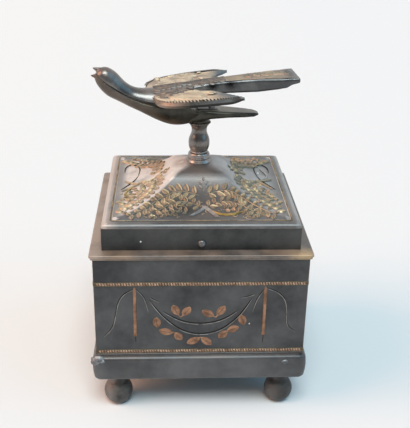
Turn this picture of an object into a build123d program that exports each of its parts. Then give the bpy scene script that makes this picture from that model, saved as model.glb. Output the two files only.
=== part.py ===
from build123d import *
from math import atan2, cos, degrees, hypot, radians, sin, sqrt
import os

# Square sewing box of blackened sheet metal with a bird clamp on its lid.
# Millimetres, z up, the table at z = 0, the front of the box towards -y, the beak towards -x.

# Sheet and fits
sheet = 1.2
crown_sheet = 1.0
cloth = 1.0
running_fit = 0.05
lid_gap = 0.1
loose_fit = 0.3

# Box walls and rim: the half width of the case drives the rest
box_half = 60.0
wall_height = 64.4
rim_overhang = 1.2
rim_lip = 4.5
rim_height = 1.3
rim_corner = 1.4
board_height = 1.5

# Base moulding and feet
foot_height = 23.5
foot_inset = 11.3
foot_ball_half = 8.55
foot_flat = 0.3
foot_neck_half = 4.2
foot_top_half = 5.6
foot_flare = 1.6
foot_cuts = 10
tenon_half = 2.0
nut_width = 7.5
nut_height = 3.0
moulding_height = 15.0
moulding_bulge = 2.5
moulding_undercut = 1.2
moulding_depth = 5.5
moulding_lip = 2.5

# Lid
ledge_overhang = 0.7
ledge_height = 1.6
ledge_round = 0.7
ledge_corner = 2.0
band_step = 0.4
band_height = 13.1
shoulder = 2.5
margin_width = 3.4
crown_rise = 16.8
crown_top_half = 14.5
crown_fall = 1.5
cove_depth = 4.0
relief_height = 0.7
relief_stem = 1.2
relief_top_gap = 10.0
relief_edge_gap = 9.0
relief_arch = 16.0
relief_bow_gap = 12.5
leaf_reach = 5.2
leaf_width = 2.9
leaf_lean = 50.0
leaf_pairs = 6

# Button and catch
button_half = 2.0
button_height = 4.2
button_reach = 1.6
button_round = 0.9
button_disc_half = 3.2
button_disc = 0.8
catch_leaf = 0.5
catch_width = 8.0
catch_joggle = 0.9
catch_solder_length = 3.6
hook_depth = 2.7
hook_bite = 1.1

# Post
collar_half = 6.5
collar_foot_half = 7.4
collar_height = 5.2
stud_half = 2.5
stud_length = 12.0
post_height = 19.0
post_cuts = 12
post_base_half = 5.0
post_belly_half = 6.2
post_neck_half = 4.5
post_top_half = 6.4
post_tenon_half = 2.2
post_tenon = 5.0
washer_half = 6.5
washer_height = 1.0
post_nut_width = 9.0
post_nut_height = 3.5

# Bird: the clamp is turned a little on its post, and its heights are above the post's top
bird_turn = 4.0
pivot_x = -12.0
pivot_z = 15.5
pivot_pin_half = 1.2
pivot_pin_length = 18.0
tongue_half = 3.8
tongue_round = 4.5
tongue_room = 0.7
lug_root_z = 7.5
beak_half = 1.8
wing_thick = 1.8
covert_thick = 1.1
wing_rise = 7.5
spring_seat = 7.9
spring_top = 17.3
spring_leaf = 0.5
spring_width = 5.0
spring_front = 0.0
spring_end = 10.0
spring_bend = 1.4
spring_rivet_x = 7.0
spring_rivet_half = 0.9
spring_rivet_depth = 2.5

# Hinges
hinge_place = 32.0
leaf_length = 16.0
leaf_sheet = 0.8
leaf_height = 13.0
leaf_depth = 5.4
hinge_arm_gap = 0.4
pin_head_lip = 0.4
knuckle_half = 1.25
knuckle_middle = 6.0
knuckle_gap = 0.1
hinge_pin_half = 0.55
heel_reach = 1.8
heel_half = 0.4
lid_opens = 105.0
rivet_half = 1.0
rivet_head_half = 1.8
rivet_head = 0.7
rivet_spread = 5.0

# Sizes that follow from those above
foot_place = box_half - foot_inset
foot_stand_half = sqrt(foot_ball_half**2 - (foot_ball_half - foot_flat) ** 2)
moulding_bottom_half = box_half - moulding_undercut
moulding_widest_half = box_half + moulding_bulge
moulding_inner_half = box_half - moulding_depth
rim_half = box_half + rim_overhang
rim_inner_half = box_half - rim_lip
ledge_half = rim_half + ledge_overhang
band_half = rim_inner_half - band_step
margin_half = band_half - shoulder - margin_width
base_top = foot_height + moulding_height
wall_top = base_top + wall_height
board_bottom = foot_height + sheet + nut_height
rim_top = wall_top + rim_height
lid_bottom = rim_top + lid_gap
ledge_top = lid_bottom + ledge_height
band_top = ledge_top + band_height
margin_top = band_top + shoulder
crown_top = margin_top + crown_rise
post_bottom = crown_top + collar_height
post_top = post_bottom + post_height
button_z = ledge_top + button_height
hinge_y = ledge_half + knuckle_half + knuckle_gap
hinge_z = rim_top + lid_gap / 2
wall_rivet_z = hinge_z - heel_reach - leaf_height / 2 - leaf_sheet
lid_rivet_y = ledge_half - leaf_depth / 2
far = 90.0


def yz_face(points):
    """A flat face in the middle plane x = 0 from (y, z) points."""
    return Plane.YZ * make_face(Polyline(*points, close=True))


def xz_prism(curves):
    """A long bar along y from an outline drawn in x and z."""
    edges = [edge for curve in curves for edge in curve.edges()]
    return extrude(Plane.XZ * make_face(edges), amount=far, both=True)


def block(x, y, z):
    """A block between two x, two y and two z values."""
    middle = Pos((x[0] + x[1]) / 2, (y[0] + y[1]) / 2, (z[0] + z[1]) / 2)
    return middle * Box(x[1] - x[0], y[1] - y[0], z[1] - z[0])


def frame(half, inner, low, high):
    """A flat square frame."""
    outer = block((-half, half), (-half, half), (low, high))
    return outer - block((-inner, inner), (-inner, inner), (low - 1, high + 1))


def rounded_frame(half, inner, low, high, corner):
    """A flat square frame with rounded outer corners."""
    plate = frame(half, inner, low, high)
    upright = plate.edges().filter_by(Axis.Z)
    return fillet([edge for edge in upright if abs(edge.center().X) > inner + 0.01], corner)


def rod(radius, start, end, direction=(0, 0, 1)):
    """A round bar from a start point over a length."""
    seat = Plane(origin=start, z_dir=direction)
    return seat * Cylinder(radius, end, align=(Align.CENTER, Align.CENTER, Align.MIN))


def mitred(face):
    """The front strip of a square frame with its ends cut to 45 degrees."""
    wedge = make_face(Polyline((0, 0), (-far, -far), (far, -far), close=True))
    return extrude(face, amount=far, both=True) & extrude(wedge, amount=2 * far)


def turned(curve, cuts):
    """A turned solid between the heights of a curve's ends, its outline in short straight cuts."""
    outline = [(point.X, point.Y) for point in (curve @ (i / cuts) for i in range(cuts + 1))]
    low, high = outline[0][1], outline[-1][1]
    face = make_face(Polyline(*outline, (0, high), (0, low), close=True))
    return revolve(Plane.XZ * face, Axis.Z)


def corners(place):
    """The four corner places."""
    return [(x, y) for x in (-place, place) for y in (-place, place)]


# Base
def moulding_strip():
    """Cushion moulding with a rabbet that holds the foot of the wall."""
    belly_z = foot_height + 0.7 * moulding_height
    belly = (-moulding_widest_half, belly_z)
    under = ((belly[0] - moulding_bottom_half) / 2 - 1.2, (belly_z + foot_height) / 2 - 0.6)
    over = (-(moulding_widest_half + box_half) / 2 - 0.5, (belly_z + base_top + moulding_lip) / 2 + 0.9)
    lower = ThreePointArc((-moulding_bottom_half, foot_height), under, belly)
    upper = ThreePointArc(belly, over, (-box_half, base_top + moulding_lip))
    rest = Polyline(
        (-box_half, base_top + moulding_lip),
        (-box_half, base_top),
        (-moulding_inner_half, base_top),
        (-moulding_inner_half, foot_height),
        (-moulding_bottom_half, foot_height),
    )
    return mitred(Plane.YZ * make_face([*lower.edges(), *upper.edges(), *rest.edges()]))


def base_plate():
    half = moulding_inner_half
    plate = block((-half, half), (-half, half), (foot_height, foot_height + sheet))
    for x, y in corners(foot_place):
        plate -= rod(tenon_half, (x, y, foot_height - 1), sheet + 2)
    return plate


def foot():
    """Ball foot on a short neck, with a tenon through the base plate."""
    middle = foot_ball_half - foot_flat
    ball_top = middle + foot_ball_half * 0.95
    meridian = ThreePointArc(
        (foot_stand_half, 0),
        (foot_ball_half, middle),
        (sqrt(foot_ball_half**2 - (ball_top - middle) ** 2), ball_top),
    )
    ball = turned(meridian, foot_cuts)
    neck = rod(foot_neck_half, (0, 0, ball_top - 2), foot_height - ball_top + 2)
    flare = Cone(foot_neck_half, foot_top_half, foot_flare, align=(Align.CENTER, Align.CENTER, Align.MAX))
    tenon = rod(tenon_half, (0, 0, foot_height), sheet + nut_height - loose_fit)
    return ball + neck + Pos(0, 0, foot_height) * flare + tenon


def foot_nut():
    nut = Pos(0, 0, nut_height / 2) * Box(nut_width, nut_width, nut_height)
    return nut - rod(tenon_half, (0, 0, -1), nut_height + 2)


# Walls and rim
def wall():
    outline = [
        (-box_half, base_top),
        (-box_half, wall_top),
        (-box_half + sheet, wall_top),
        (-box_half + sheet, base_top),
    ]
    return mitred(yz_face(outline))


# Lid
def crown_block(inset):
    """The coved hipped block of the lid, each surface moved inwards by the inset."""
    edge = band_half - inset
    bend = shoulder - inset
    margin = margin_half - inset / 4
    top = crown_top_half - inset / 4
    low, high = margin_top - inset, crown_top - crown_fall - inset
    peak = (collar_foot_half, crown_top - inset)
    run, rise = margin - top, high - low
    sag = cove_depth / hypot(run, rise)
    cove = ((margin + top) / 2 - sag * rise, (low + high) / 2 - sag * run)
    bulge = bend * (1 - sin(radians(45)))
    outline = [Line((-edge, band_top), (edge, band_top)), Line((-peak[0], peak[1]), peak)]
    for side in (1, -1):
        round_end = (side * (edge - bend), low)
        round_middle = (side * (edge - bulge), low - bulge)
        foot_of_cove = (side * margin, low)
        outline.append(ThreePointArc((side * edge, band_top), round_middle, round_end))
        outline.append(Line(round_end, foot_of_cove))
        outline.append(ThreePointArc(foot_of_cove, (side * cove[0], cove[1]), (side * top, high)))
        outline.append(Line((side * top, high), (side * peak[0], peak[1])))
    along = xz_prism(outline)
    return along & (Rot(0, 0, 90) * along)


def leaf_face(place, heading):
    """A pointed leaf seen from above, growing from a place in a direction."""
    tip = (leaf_reach, 0)
    edges = [
        ThreePointArc((0, 0), (leaf_reach / 2, -leaf_width / 2), tip),
        ThreePointArc(tip, (leaf_reach / 2, leaf_width / 2), (0, 0)),
    ]
    face = make_face([edge for arc in edges for edge in arc.edges()])
    return Pos(place.X, place.Y, 0) * (Rot(0, 0, heading) * face)


def lid_branches():
    """Two leafy branches and a bow on the front slope, seen from above."""
    start = (0.0, -crown_top_half - relief_top_gap)
    bow = (0.0, relief_bow_gap - margin_half)
    reach = margin_half - relief_edge_gap
    plan = trace(Line(start, (0.0, start[1] + leaf_reach)), relief_stem)
    for side in (-1, 1):
        stem = ThreePointArc(start, (side * relief_arch, start[1]), (side * reach, leaf_width - reach))
        plan += trace(stem, relief_stem)
        plan += trace(Line(bow, (side * leaf_reach, -reach - leaf_reach)), 2 * relief_stem)
        for pair in range(leaf_pairs):
            where = (pair + 0.5) / leaf_pairs
            run = stem % where
            heading = degrees(atan2(run.Y, run.X))
            for lean in (-leaf_lean, leaf_lean):
                plan += leaf_face(stem @ where, heading + lean)
    return plan


def lid_crown():
    """Shell of the lid with its relief of branches on each slope."""
    shell = crown_block(0) - crown_block(crown_sheet)
    columns = Pos(0, 0, margin_top) * extrude(lid_branches(), amount=crown_rise)
    relief = columns & crown_block(-relief_height)
    relief -= crown_block(crown_sheet / 2)
    for angle in (0, 90, 180, 270):
        shell += Rot(0, 0, angle) * relief
    return shell - rod(stud_half + running_fit, (0, 0, crown_top - 5), 10)


def lid_flange():
    plate = rounded_frame(ledge_half, band_half - sheet, lid_bottom, ledge_top, ledge_corner)
    top = plate.edges().filter_by_position(Axis.Z, ledge_top - 0.01, ledge_top + 0.01)
    rims = [edge for edge in top if max(abs(edge.center().X), abs(edge.center().Y)) > band_half]
    plate = fillet(rims, ledge_round)
    for x in rivet_places():
        plate -= rod(rivet_half, (x, lid_rivet_y, lid_bottom - 1), ledge_height + 2)
    return plate


def lid_band():
    band = frame(band_half, band_half - sheet, ledge_top, band_top)
    return band - rod(button_half + running_fit, (0, -band_half - 1, button_z), sheet + 2, (0, 1, 0))


# Button and catch
def push_button():
    """Round button through the lid band, with a disc behind that holds it in."""
    back = -band_half + sheet
    start = -band_half - button_reach
    stem = rod(button_half, (0, start, button_z), back - start + button_disc, (0, 1, 0))
    front = stem.edges().sort_by(Axis.Y)[0]
    disc = rod(button_disc_half, (0, back + running_fit, button_z), button_disc, (0, 1, 0))
    return chamfer(front, button_round) + disc


def catch_spring():
    """Leaf soldered inside the band, with a hook under the rim at its lower end."""
    band_in = -band_half + sheet
    front = band_in + catch_joggle
    back = front + catch_leaf
    nose = -rim_inner_half - hook_bite
    under_rim = wall_top - 0.2
    top = band_top - 0.5
    joggle = top - catch_solder_length
    outline = [
        (band_in, top),
        (band_in, joggle),
        (front, joggle - 1.2),
        (front, under_rim),
        (nose, under_rim),
        (nose, under_rim - 0.4),
        (front, under_rim - hook_depth),
        (back, under_rim - hook_depth),
        (back, joggle - 1.1),
        (band_in + catch_leaf, joggle + 0.1),
        (band_in + catch_leaf, top),
    ]
    return extrude(yz_face(outline), amount=catch_width / 2, both=True)


# Post
def post_collar():
    outline = Spline(
        (collar_foot_half, crown_top),
        (collar_half + 0.1, crown_top + 1.4),
        (collar_half, post_bottom - 1.2),
        (collar_half - 0.5, post_bottom),
    )
    ring = turned(outline, 5)
    return ring - rod(stud_half, (0, 0, crown_top - 1), collar_height + 2)


def post():
    """Turned baluster with a stud through the lid and a tenon into the bird."""
    outline = Spline(
        (post_base_half, post_bottom),
        (post_belly_half, post_bottom + 0.3 * post_height),
        (post_neck_half, post_bottom + 0.8 * post_height),
        (post_top_half, post_top),
    )
    baluster = turned(outline, post_cuts)
    stud = rod(stud_half, (0, 0, post_bottom - stud_length), stud_length)
    return baluster + stud + rod(post_tenon_half, (0, 0, post_top), post_tenon)


def post_washer():
    low = crown_top - crown_sheet - washer_height
    washer = rod(washer_half, (0, 0, low), washer_height)
    return washer - rod(stud_half + running_fit, (0, 0, low - 1), washer_height + 2)


def post_nut():
    middle = crown_top - crown_sheet - washer_height - post_nut_height / 2
    nut = Pos(0, 0, middle) * Box(post_nut_width, post_nut_width, post_nut_height)
    return nut - rod(stud_half, (0, 0, middle - post_nut_height), 2 * post_nut_height)


# Bird, drawn straight along x from the post's top, and lifted and turned at the end
# Each body station: upper outline x and z, lower outline x and z, half width
body_stations = [
    (-58.2, 31.2, -59.8, 27.7, 1.8),
    (-56.2, 32.2, -59.5, 24.9, 4.0),
    (-52.9, 32.6, -58.2, 22.2, 5.4),
    (-49.7, 31.1, -56.2, 19.5, 6.1),
    (-47.0, 28.9, -53.8, 17.1, 6.2),
    (-44.3, 25.8, -50.8, 15.1, 6.1),
    (-41.3, 23.0, -46.8, 13.1, 6.1),
    (-37.3, 20.9, -41.8, 10.4, 6.5),
    (-32.0, 20.2, -35.3, 7.2, 7.8),
    (-24.0, 20.8, -25.5, 2.1, 9.8),
    (-15.0, 22.1, -15.5, -1.3, 10.6),
    (-6.0, 23.0, -6.0, -0.7, 9.6),
    (4.0, 23.8, 4.0, 2.3, 7.6),
    (11.0, 24.5, 11.0, 4.7, 5.0),
]
# Each bar station: x, top z, bottom z, half width, corner radius
tail_stations = [
    (-18.0, 19.1, 17.1, 5.0, 0.9),
    (0.0, 23.5, 17.7, 5.8, 2.0),
    (11.0, 24.8, 17.5, 5.4, 2.0),
    (33.0, 26.9, 18.8, 7.8, 2.0),
    (44.0, 27.5, 20.7, 10.2, 2.0),
    (49.0, 27.8, 21.9, 11.2, 1.8),
    (51.5, 27.9, 23.8, 11.6, 1.2),
    (56.0, 28.0, 25.3, 12.3, 0.9),
]
lever_stations = [
    (-6.0, spring_seat, 0.9, 7.2, 2.0),
    (6.0, spring_seat, 2.9, 7.6, 2.0),
    (16.0, 7.1, 3.5, 7.2, 1.7),
    (26.0, 6.2, 3.3, 6.0, 1.4),
    (32.0, 5.6, 3.3, 4.6, 1.1),
    (34.7, 4.9, 3.9, 2.6, 0.45),
]
# The seam: x and z of the line on the upper half and on the lower half
upper_beak_line = (-62.4, 31.6)
upper_seam = [
    (-59.1, 29.65),
    (-56.0, 26.7),
    (-50.5, 22.8),
    (-45.0, 19.2),
    (-39.5, 16.7),
    (-33.5, 15.0),
    (-26.3, 13.9),
]
lower_beak_line = (-63.8, 28.7)
lower_seam = [
    (-59.1, 29.5),
    (-56.0, 26.55),
    (-50.5, 22.5),
    (-45.0, 18.7),
    (-39.5, 15.7),
    (-33.5, 13.5),
    (-26.3, 12.1),
]
upper_flat = 13.7
lower_flat = 11.7
body_end = (-7.0, -3.5, 14.0)
between = 12.5
# Wing outline from above: x and distance from the middle
wing_front = [
    (-26.5, 6.0),
    (-27.2, 12.0),
    (-25.8, 18.5),
    (-20.5, 26.5),
    (-12.0, 30.6),
    (-2.0, 33.0),
    (9.0, 34.6),
    (16.5, 35.0),
    (21.4, 33.2),
]
wing_back = [(21.4, 33.2), (18.5, 29.5), (13.5, 25.0), (7.5, 18.6), (1.0, 13.0), (-5.0, 6.0)]
covert_front = [(-26.0, 6.0), (-26.4, 12.0), (-25.0, 18.0), (-19.9, 25.4), (-11.8, 29.2), (-2.4, 31.4)]
covert_back = [(-2.4, 31.4), (-4.0, 23.0), (-5.5, 14.5), (-7.0, 6.0)]
far_wing_stretch = 1.06
far_wing_stagger = 1.75
far_wing_rise = 5.5
wing_root_x = -26.0
wing_root_z = 15.7


def bird_body():
    """The whole body without its seam, through ovals set square to its run."""
    ovals = []
    for upper_x, upper_z, lower_x, lower_z, half in body_stations:
        up = Vector(upper_x - lower_x, 0, upper_z - lower_z)
        middle = ((upper_x + lower_x) / 2, 0, (upper_z + lower_z) / 2)
        run = Vector(0, 1, 0).cross(up)
        ovals.append(Plane(origin=middle, x_dir=(0, 1, 0), z_dir=run) * Ellipse(half, up.length / 2))
    return loft(ovals)


def bar(stations):
    """A bar along x through rounded rectangles."""
    sections = []
    for x, top, bottom, half, corner in stations:
        place = Plane(origin=(x, 0, (top + bottom) / 2), x_dir=(0, 1, 0), z_dir=(1, 0, 0))
        limit = min(corner, 0.49 * (top - bottom))
        sections.append(place * RectangleRounded(2 * half, top - bottom, limit))
    return loft(sections, ruled=True)


def beak(base_x, base_z, tip_x, tip_z, half):
    reach = Vector(tip_x - base_x, 0, tip_z - base_z)
    place = Plane(origin=(base_x, 0, base_z), z_dir=reach)
    return place * Cone(half, 0.35, reach.length, align=(Align.CENTER, Align.CENTER, Align.MIN))


def seam_region(beak_line, seam, flat, seat, edge):
    """Everything on one side of the seam, up to the edge height."""
    neck = Spline(*seam)
    rest = Polyline(
        seam[-1],
        (seam[-1][0] + 2, flat),
        (body_end[0], flat),
        (body_end[1], seat),
        (body_end[2], seat),
        (body_end[2], between),
        (far, between),
        (far, edge),
        (-far, edge),
        (-far, beak_line[1]),
        beak_line,
        seam[0],
    )
    return xz_prism([neck, rest])


def pivot_bar(radius, length, x=pivot_x, z=pivot_z):
    return rod(radius, (x, -length / 2, z), length, (0, 1, 0))


def tongue():
    """The lug of the lower half that the pin goes through."""
    lug = pivot_bar(tongue_round, 2 * tongue_half)
    along = (pivot_x - tongue_round, pivot_x + tongue_round)
    return lug + block(along, (-tongue_half, tongue_half), (lug_root_z, pivot_z))


def bird_lower():
    """Throat, belly and lever, with the lug, the spring seat and the socket for the post."""
    half = (bird_body() + bar(lever_stations) + beak(-57.8, 27.5, -62.0, 27.9, beak_half))
    half = half & seam_region(lower_beak_line, lower_seam, lower_flat, spring_seat, -far)
    half = half + rod(post_top_half - 0.3, (0, 0, 0), 3.0) + tongue()
    half -= rod(post_top_half + loose_fit, (0, 0, -8), 8)
    half -= rod(post_tenon_half, (0, 0, -1), post_tenon + 1 + loose_fit)
    rivet_bottom = (spring_rivet_x, 0, spring_seat - spring_rivet_depth)
    half -= rod(spring_rivet_half, rivet_bottom, spring_rivet_depth + 1)
    return half - pivot_bar(pivot_pin_half + running_fit, 4 * tongue_half)


def bird_upper():
    """Head, neck, back and tail, with the pocket for the lug."""
    half = bird_body() + bar(tail_stations) + beak(-56.8, 30.8, -60.8, 32.4, beak_half)
    half = half & seam_region(upper_beak_line, upper_seam, upper_flat, spring_top, far)
    pocket = pivot_bar(tongue_round + tongue_room, 2 * tongue_half + 2 * loose_fit)
    side = tongue_round + tongue_room
    width = tongue_half + loose_fit
    pocket += block((pivot_x - side, pivot_x + side), (-width, width), (lug_root_z, pivot_z))
    return half - pocket - pivot_bar(pivot_pin_half, 3 * far)


def blade(front, back, low, high, side):
    """A flat leaf shape on one side of the bird, drawn level from above; the far one is a little longer."""
    if side > 0:
        front = [(far_wing_stretch * x - far_wing_stagger, y) for x, y in front]
        back = [(far_wing_stretch * x - far_wing_stagger, y) for x, y in back]
    leading = [(x, side * y) for x, y in front][::side]
    trailing = [(x, side * y) for x, y in back][::side]
    root = Line((back[-1][0], side * back[-1][1]), (front[0][0], side * front[0][1]))
    face = make_face([*Spline(*leading).edges(), *Spline(*trailing).edges(), *root.edges()])
    return Pos(-wing_root_x, 0, low) * extrude(face, amount=high - low, dir=(0, 0, 1))


def wing(side):
    """Wing of two layers of feathers, its plane rising towards the tail."""
    feathers = blade(wing_front, wing_back, 0, wing_thick, side)
    coverts = blade(covert_front, covert_back, wing_thick / 2, wing_thick + covert_thick, side)
    rise = wing_rise if side < 0 else far_wing_rise
    return Pos(wing_root_x, 0, wing_root_z) * (Rot(0, -rise, 0) * (feathers + coverts))


def jaw_spring():
    """Bent leaf riveted to the lever, its free arm under the tail."""
    outer = spring_bend + spring_leaf
    bend_z = spring_seat + outer
    seat_top = spring_seat + spring_leaf
    tip = (spring_end, spring_top - running_fit)
    lean = atan2(tip[1] - bend_z - outer, tip[0] - spring_front)
    rise = (sin(lean), cos(lean))
    outside = (spring_front - outer * rise[0], bend_z + outer * rise[1])
    inside = (spring_front - spring_bend * rise[0], bend_z + spring_bend * rise[1])
    under_tip = (tip[0] + spring_leaf * rise[0], tip[1] - spring_leaf * rise[1])
    curves = [
        Line((spring_end, spring_seat), (spring_front, spring_seat)),
        ThreePointArc((spring_front, spring_seat), (spring_front - outer, bend_z), outside),
        Line(outside, tip),
        Line(tip, under_tip),
        Line(under_tip, inside),
        ThreePointArc(inside, (spring_front - spring_bend, bend_z), (spring_front, seat_top)),
        Line((spring_front, seat_top), (spring_end, seat_top)),
        Line((spring_end, seat_top), (spring_end, spring_seat)),
    ]
    edges = [edge for curve in curves for edge in curve.edges()]
    leaf = extrude(Plane.XZ * make_face(edges), amount=spring_width / 2, both=True)
    return leaf - rod(spring_rivet_half, (spring_rivet_x, 0, spring_seat - 1), spring_leaf + 1.5)


def spring_rivet():
    foot_of_shank = (spring_rivet_x, 0, spring_seat - spring_rivet_depth)
    shank = rod(spring_rivet_half, foot_of_shank, spring_rivet_depth + spring_leaf)
    head = rod(2 * spring_rivet_half, (spring_rivet_x, 0, spring_seat + spring_leaf), rivet_head)
    return shank + head


# Hinges

def rivet_places():
    return [side * hinge_place + spread for side in (-1, 1) for spread in (-rivet_spread, rivet_spread)]


def hinge_ring(radius, x_from, x_to):
    return rod(radius, (x_from, hinge_y, hinge_z), x_to - x_from, (1, 0, 0))


def hinge_body_leaf():
    """Cranked leaf on the back wall with the two outer knuckles."""
    half = leaf_length / 2
    outside = hinge_y + knuckle_half
    web_top = hinge_z - heel_reach - running_fit
    web = (web_top - leaf_sheet, web_top)
    leaf = block((-half, half), (box_half, box_half + leaf_sheet), (web[0] - leaf_height, web[1]))
    leaf += block((-half, half), (box_half, outside), web)
    gap = knuckle_middle / 2 + knuckle_gap
    for x in ((-half, -gap), (gap, half)):
        leaf += block(x, (outside - leaf_sheet, outside), (web[0], hinge_z))
        leaf += hinge_ring(knuckle_half, *x)
    leaf -= hinge_ring(hinge_pin_half, -half - 1, half + 1)
    for x in (-rivet_spread, rivet_spread):
        leaf -= rod(rivet_half, (x, box_half - 1, wall_rivet_z), 4, (0, 1, 0))
    return leaf


def hinge_lid_leaf():
    """Leaf on the lid ledge with the middle knuckle and its stop heel."""
    half = leaf_length / 2
    middle = knuckle_middle / 2
    sheet_z = (ledge_top, ledge_top + leaf_sheet)
    leaf = block((-half, half), (ledge_half - leaf_depth, ledge_half), sheet_z)
    leaf += block((-middle, middle), (ledge_half, hinge_y), (hinge_z + hinge_arm_gap, sheet_z[1]))
    leaf += hinge_ring(knuckle_half, -middle, middle)
    heel = block((-middle, middle), (0, heel_reach), (-heel_half, heel_half))
    leaf += Pos(0, hinge_y, hinge_z) * (Rot(lid_opens - 90, 0, 0) * heel)
    leaf -= hinge_ring(hinge_pin_half + running_fit, -half, half)
    for x in (-rivet_spread, rivet_spread):
        leaf -= rod(rivet_half, (x, lid_rivet_y, ledge_top - 1), leaf_sheet + 2)
    return leaf


def hinge_pin():
    half = leaf_length / 2
    pin = hinge_ring(hinge_pin_half, -half, half)
    for x in (-half - rivet_head, half):
        pin += hinge_ring(hinge_pin_half + pin_head_lip, x, x + rivet_head)
    return pin


def rivet(length):
    """Round-headed rivet with its shank along -z and its head above z = 0."""
    head = Pos(0, 0, rivet_head / 2) * Cone(rivet_head_half, rivet_half, rivet_head)
    return head + rod(rivet_half, (0, 0, -length), length)


def hinge_body_rivets():
    one = Rot(-90, 0, 0) * rivet(sheet + leaf_sheet)
    return Compound([Pos(x, box_half + leaf_sheet, wall_rivet_z) * one for x in rivet_places()])


def hinge_lid_rivets():
    one = rivet(ledge_height + leaf_sheet)
    return Compound([Pos(x, lid_rivet_y, ledge_top + leaf_sheet) * one for x in rivet_places()])


def save(name, shape):
    export_step(shape, f"parts/{name}.step")


def main():
    os.makedirs("parts", exist_ok=True)
    for name, angle in (("front", 0), ("right", 90), ("back", 180), ("left", 270)):
        quarter = Rot(0, 0, angle)
        side = quarter * wall()
        if name == "back":
            for x in rivet_places():
                side -= rod(rivet_half, (x, box_half - sheet - 1, wall_rivet_z), sheet + 2, (0, 1, 0))
        save(f"wall_{name}", side)
        save(f"base_moulding_{name}", quarter * moulding_strip())
    save("base_plate", base_plate())
    for name, place in zip(("front_left", "back_left", "front_right", "back_right"), corners(foot_place)):
        save(f"foot_{name}", Pos(*place) * foot())
    nuts = [Pos(x, y, foot_height + sheet) * foot_nut() for x, y in corners(foot_place)]
    save("foot_nuts", Compound(nuts))
    half = moulding_inner_half - loose_fit
    save("floor_board", block((-half, half), (-half, half), (board_bottom, board_bottom + board_height)))
    cloth_z = (board_bottom + board_height, board_bottom + board_height + cloth)
    save("floor_lining", block((-half, half), (-half, half), cloth_z))
    inside = box_half - sheet
    save("wall_lining", frame(inside, inside - cloth, base_top, wall_top))
    save("rim_flange", rounded_frame(rim_half, rim_inner_half, wall_top, rim_top, rim_corner))

    save("lid_flange", lid_flange())
    save("lid_band", lid_band())
    save("lid_crown", lid_crown())
    save("catch_spring", catch_spring())
    save("push_button", push_button())
    save("post_collar", post_collar())
    save("post", post())
    save("post_washer", post_washer())
    save("post_nut", post_nut())

    turn = Pos(0, 0, post_top) * Rot(0, 0, bird_turn)
    upper = bird_upper()
    save("bird_lower", turn * bird_lower())
    save("bird_upper", turn * upper)
    save("wing_left", turn * (wing(-1) - upper))
    save("wing_right", turn * (wing(1) - upper))
    save("pivot_pin", turn * pivot_bar(pivot_pin_half, pivot_pin_length))
    save("jaw_spring", turn * jaw_spring())
    save("spring_rivet", turn * spring_rivet())

    for name, side in (("left", -1), ("right", 1)):
        place = Pos(side * hinge_place, 0, 0)
        save(f"hinge_body_leaf_{name}", place * hinge_body_leaf())
        save(f"hinge_lid_leaf_{name}", place * hinge_lid_leaf())
        save(f"hinge_pin_{name}", place * hinge_pin())
    save("hinge_body_rivets", hinge_body_rivets())
    save("hinge_lid_rivets", hinge_lid_rivets())


main()
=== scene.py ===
import math
import random

import bmesh
import bpy
from mathutils import Matrix, Vector


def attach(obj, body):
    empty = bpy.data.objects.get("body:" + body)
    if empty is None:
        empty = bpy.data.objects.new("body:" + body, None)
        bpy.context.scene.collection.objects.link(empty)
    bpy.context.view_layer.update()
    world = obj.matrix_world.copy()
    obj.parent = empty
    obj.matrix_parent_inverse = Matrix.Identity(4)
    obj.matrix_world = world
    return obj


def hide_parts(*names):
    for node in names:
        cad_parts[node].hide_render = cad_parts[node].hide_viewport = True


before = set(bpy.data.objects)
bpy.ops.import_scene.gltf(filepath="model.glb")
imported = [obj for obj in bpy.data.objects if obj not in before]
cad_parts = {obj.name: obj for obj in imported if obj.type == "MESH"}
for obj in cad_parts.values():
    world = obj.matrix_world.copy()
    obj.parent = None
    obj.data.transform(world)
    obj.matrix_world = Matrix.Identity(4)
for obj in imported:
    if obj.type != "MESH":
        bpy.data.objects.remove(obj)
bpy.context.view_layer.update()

# A square sewing box of blackened sheet metal, with a bird clamp on its lid.
# Sizes are in millimetres and are made metres by mm. The front looks towards -y.
mm = 0.001

# Case
sides = ("front", "right", "back", "left")
wall_face = 60.0
wall_sheet = 1.2
wall_low = 38.5
wall_high = 102.9
rope_heights = (43.1, 87.3)
rope_pitch = 1.52
rope_half = 0.8
rope_bead = 0.57
garland_leaf_width = 5.4
garland_leaf_swell = 0.7
stalk_radius = 0.36
foot_place = 48.7
foot_ball_half = 8.55
foot_ball_middle = 8.25
foot_top = 23.5

# Lid
band_half = 55.1
band_top = 119.0
margin_top = 121.5
margin_half = 49.2
crown_top = 138.3
crown_top_half = 14.5
crown_flat_half = 7.4
crown_brow = 136.8
cove_middle = (30.24, 125.49)
border_half = 49.6
border_place = 50.2
border_height = 121.55
border_bead = 0.8
border_count = 92
stem_radius = 0.26
curl_count = 46
button_height = 110.1
post_low = 143.5
post_high = 162.5

# Bird, in its own straight frame before it is turned on the post
bird_turn = math.radians(4.0)
wing_root = (-26.0, 178.2)
near_wing_rise = math.radians(7.5)
far_wing_rise = math.radians(5.5)
far_wing_stretch = 1.06
far_wing_shift = 1.75
wing_top = 1.8
covert_top = 2.9
small_covert_count = 26
casting_grain = 0.42
wing_grain = 0.4
back_rows = 13
back_start = -27.0
back_step = 3.1
back_spacing = 2.6

# Linings
velvet_floor = 30.0
velvet_low = 38.55
velvet_high = 102.4
velvet_half = 54.15
velvet_outer = 58.75
velvet_inner = 57.85


# Handling a piece
def hold(piece):
    """Selects one piece alone and makes it the active one."""
    if bpy.context.object and bpy.context.object.mode != "OBJECT":
        bpy.ops.object.mode_set(mode="OBJECT")
    bpy.ops.object.select_all(action="DESELECT")
    if piece:
        piece.select_set(True)
        bpy.context.view_layer.objects.active = piece


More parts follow.
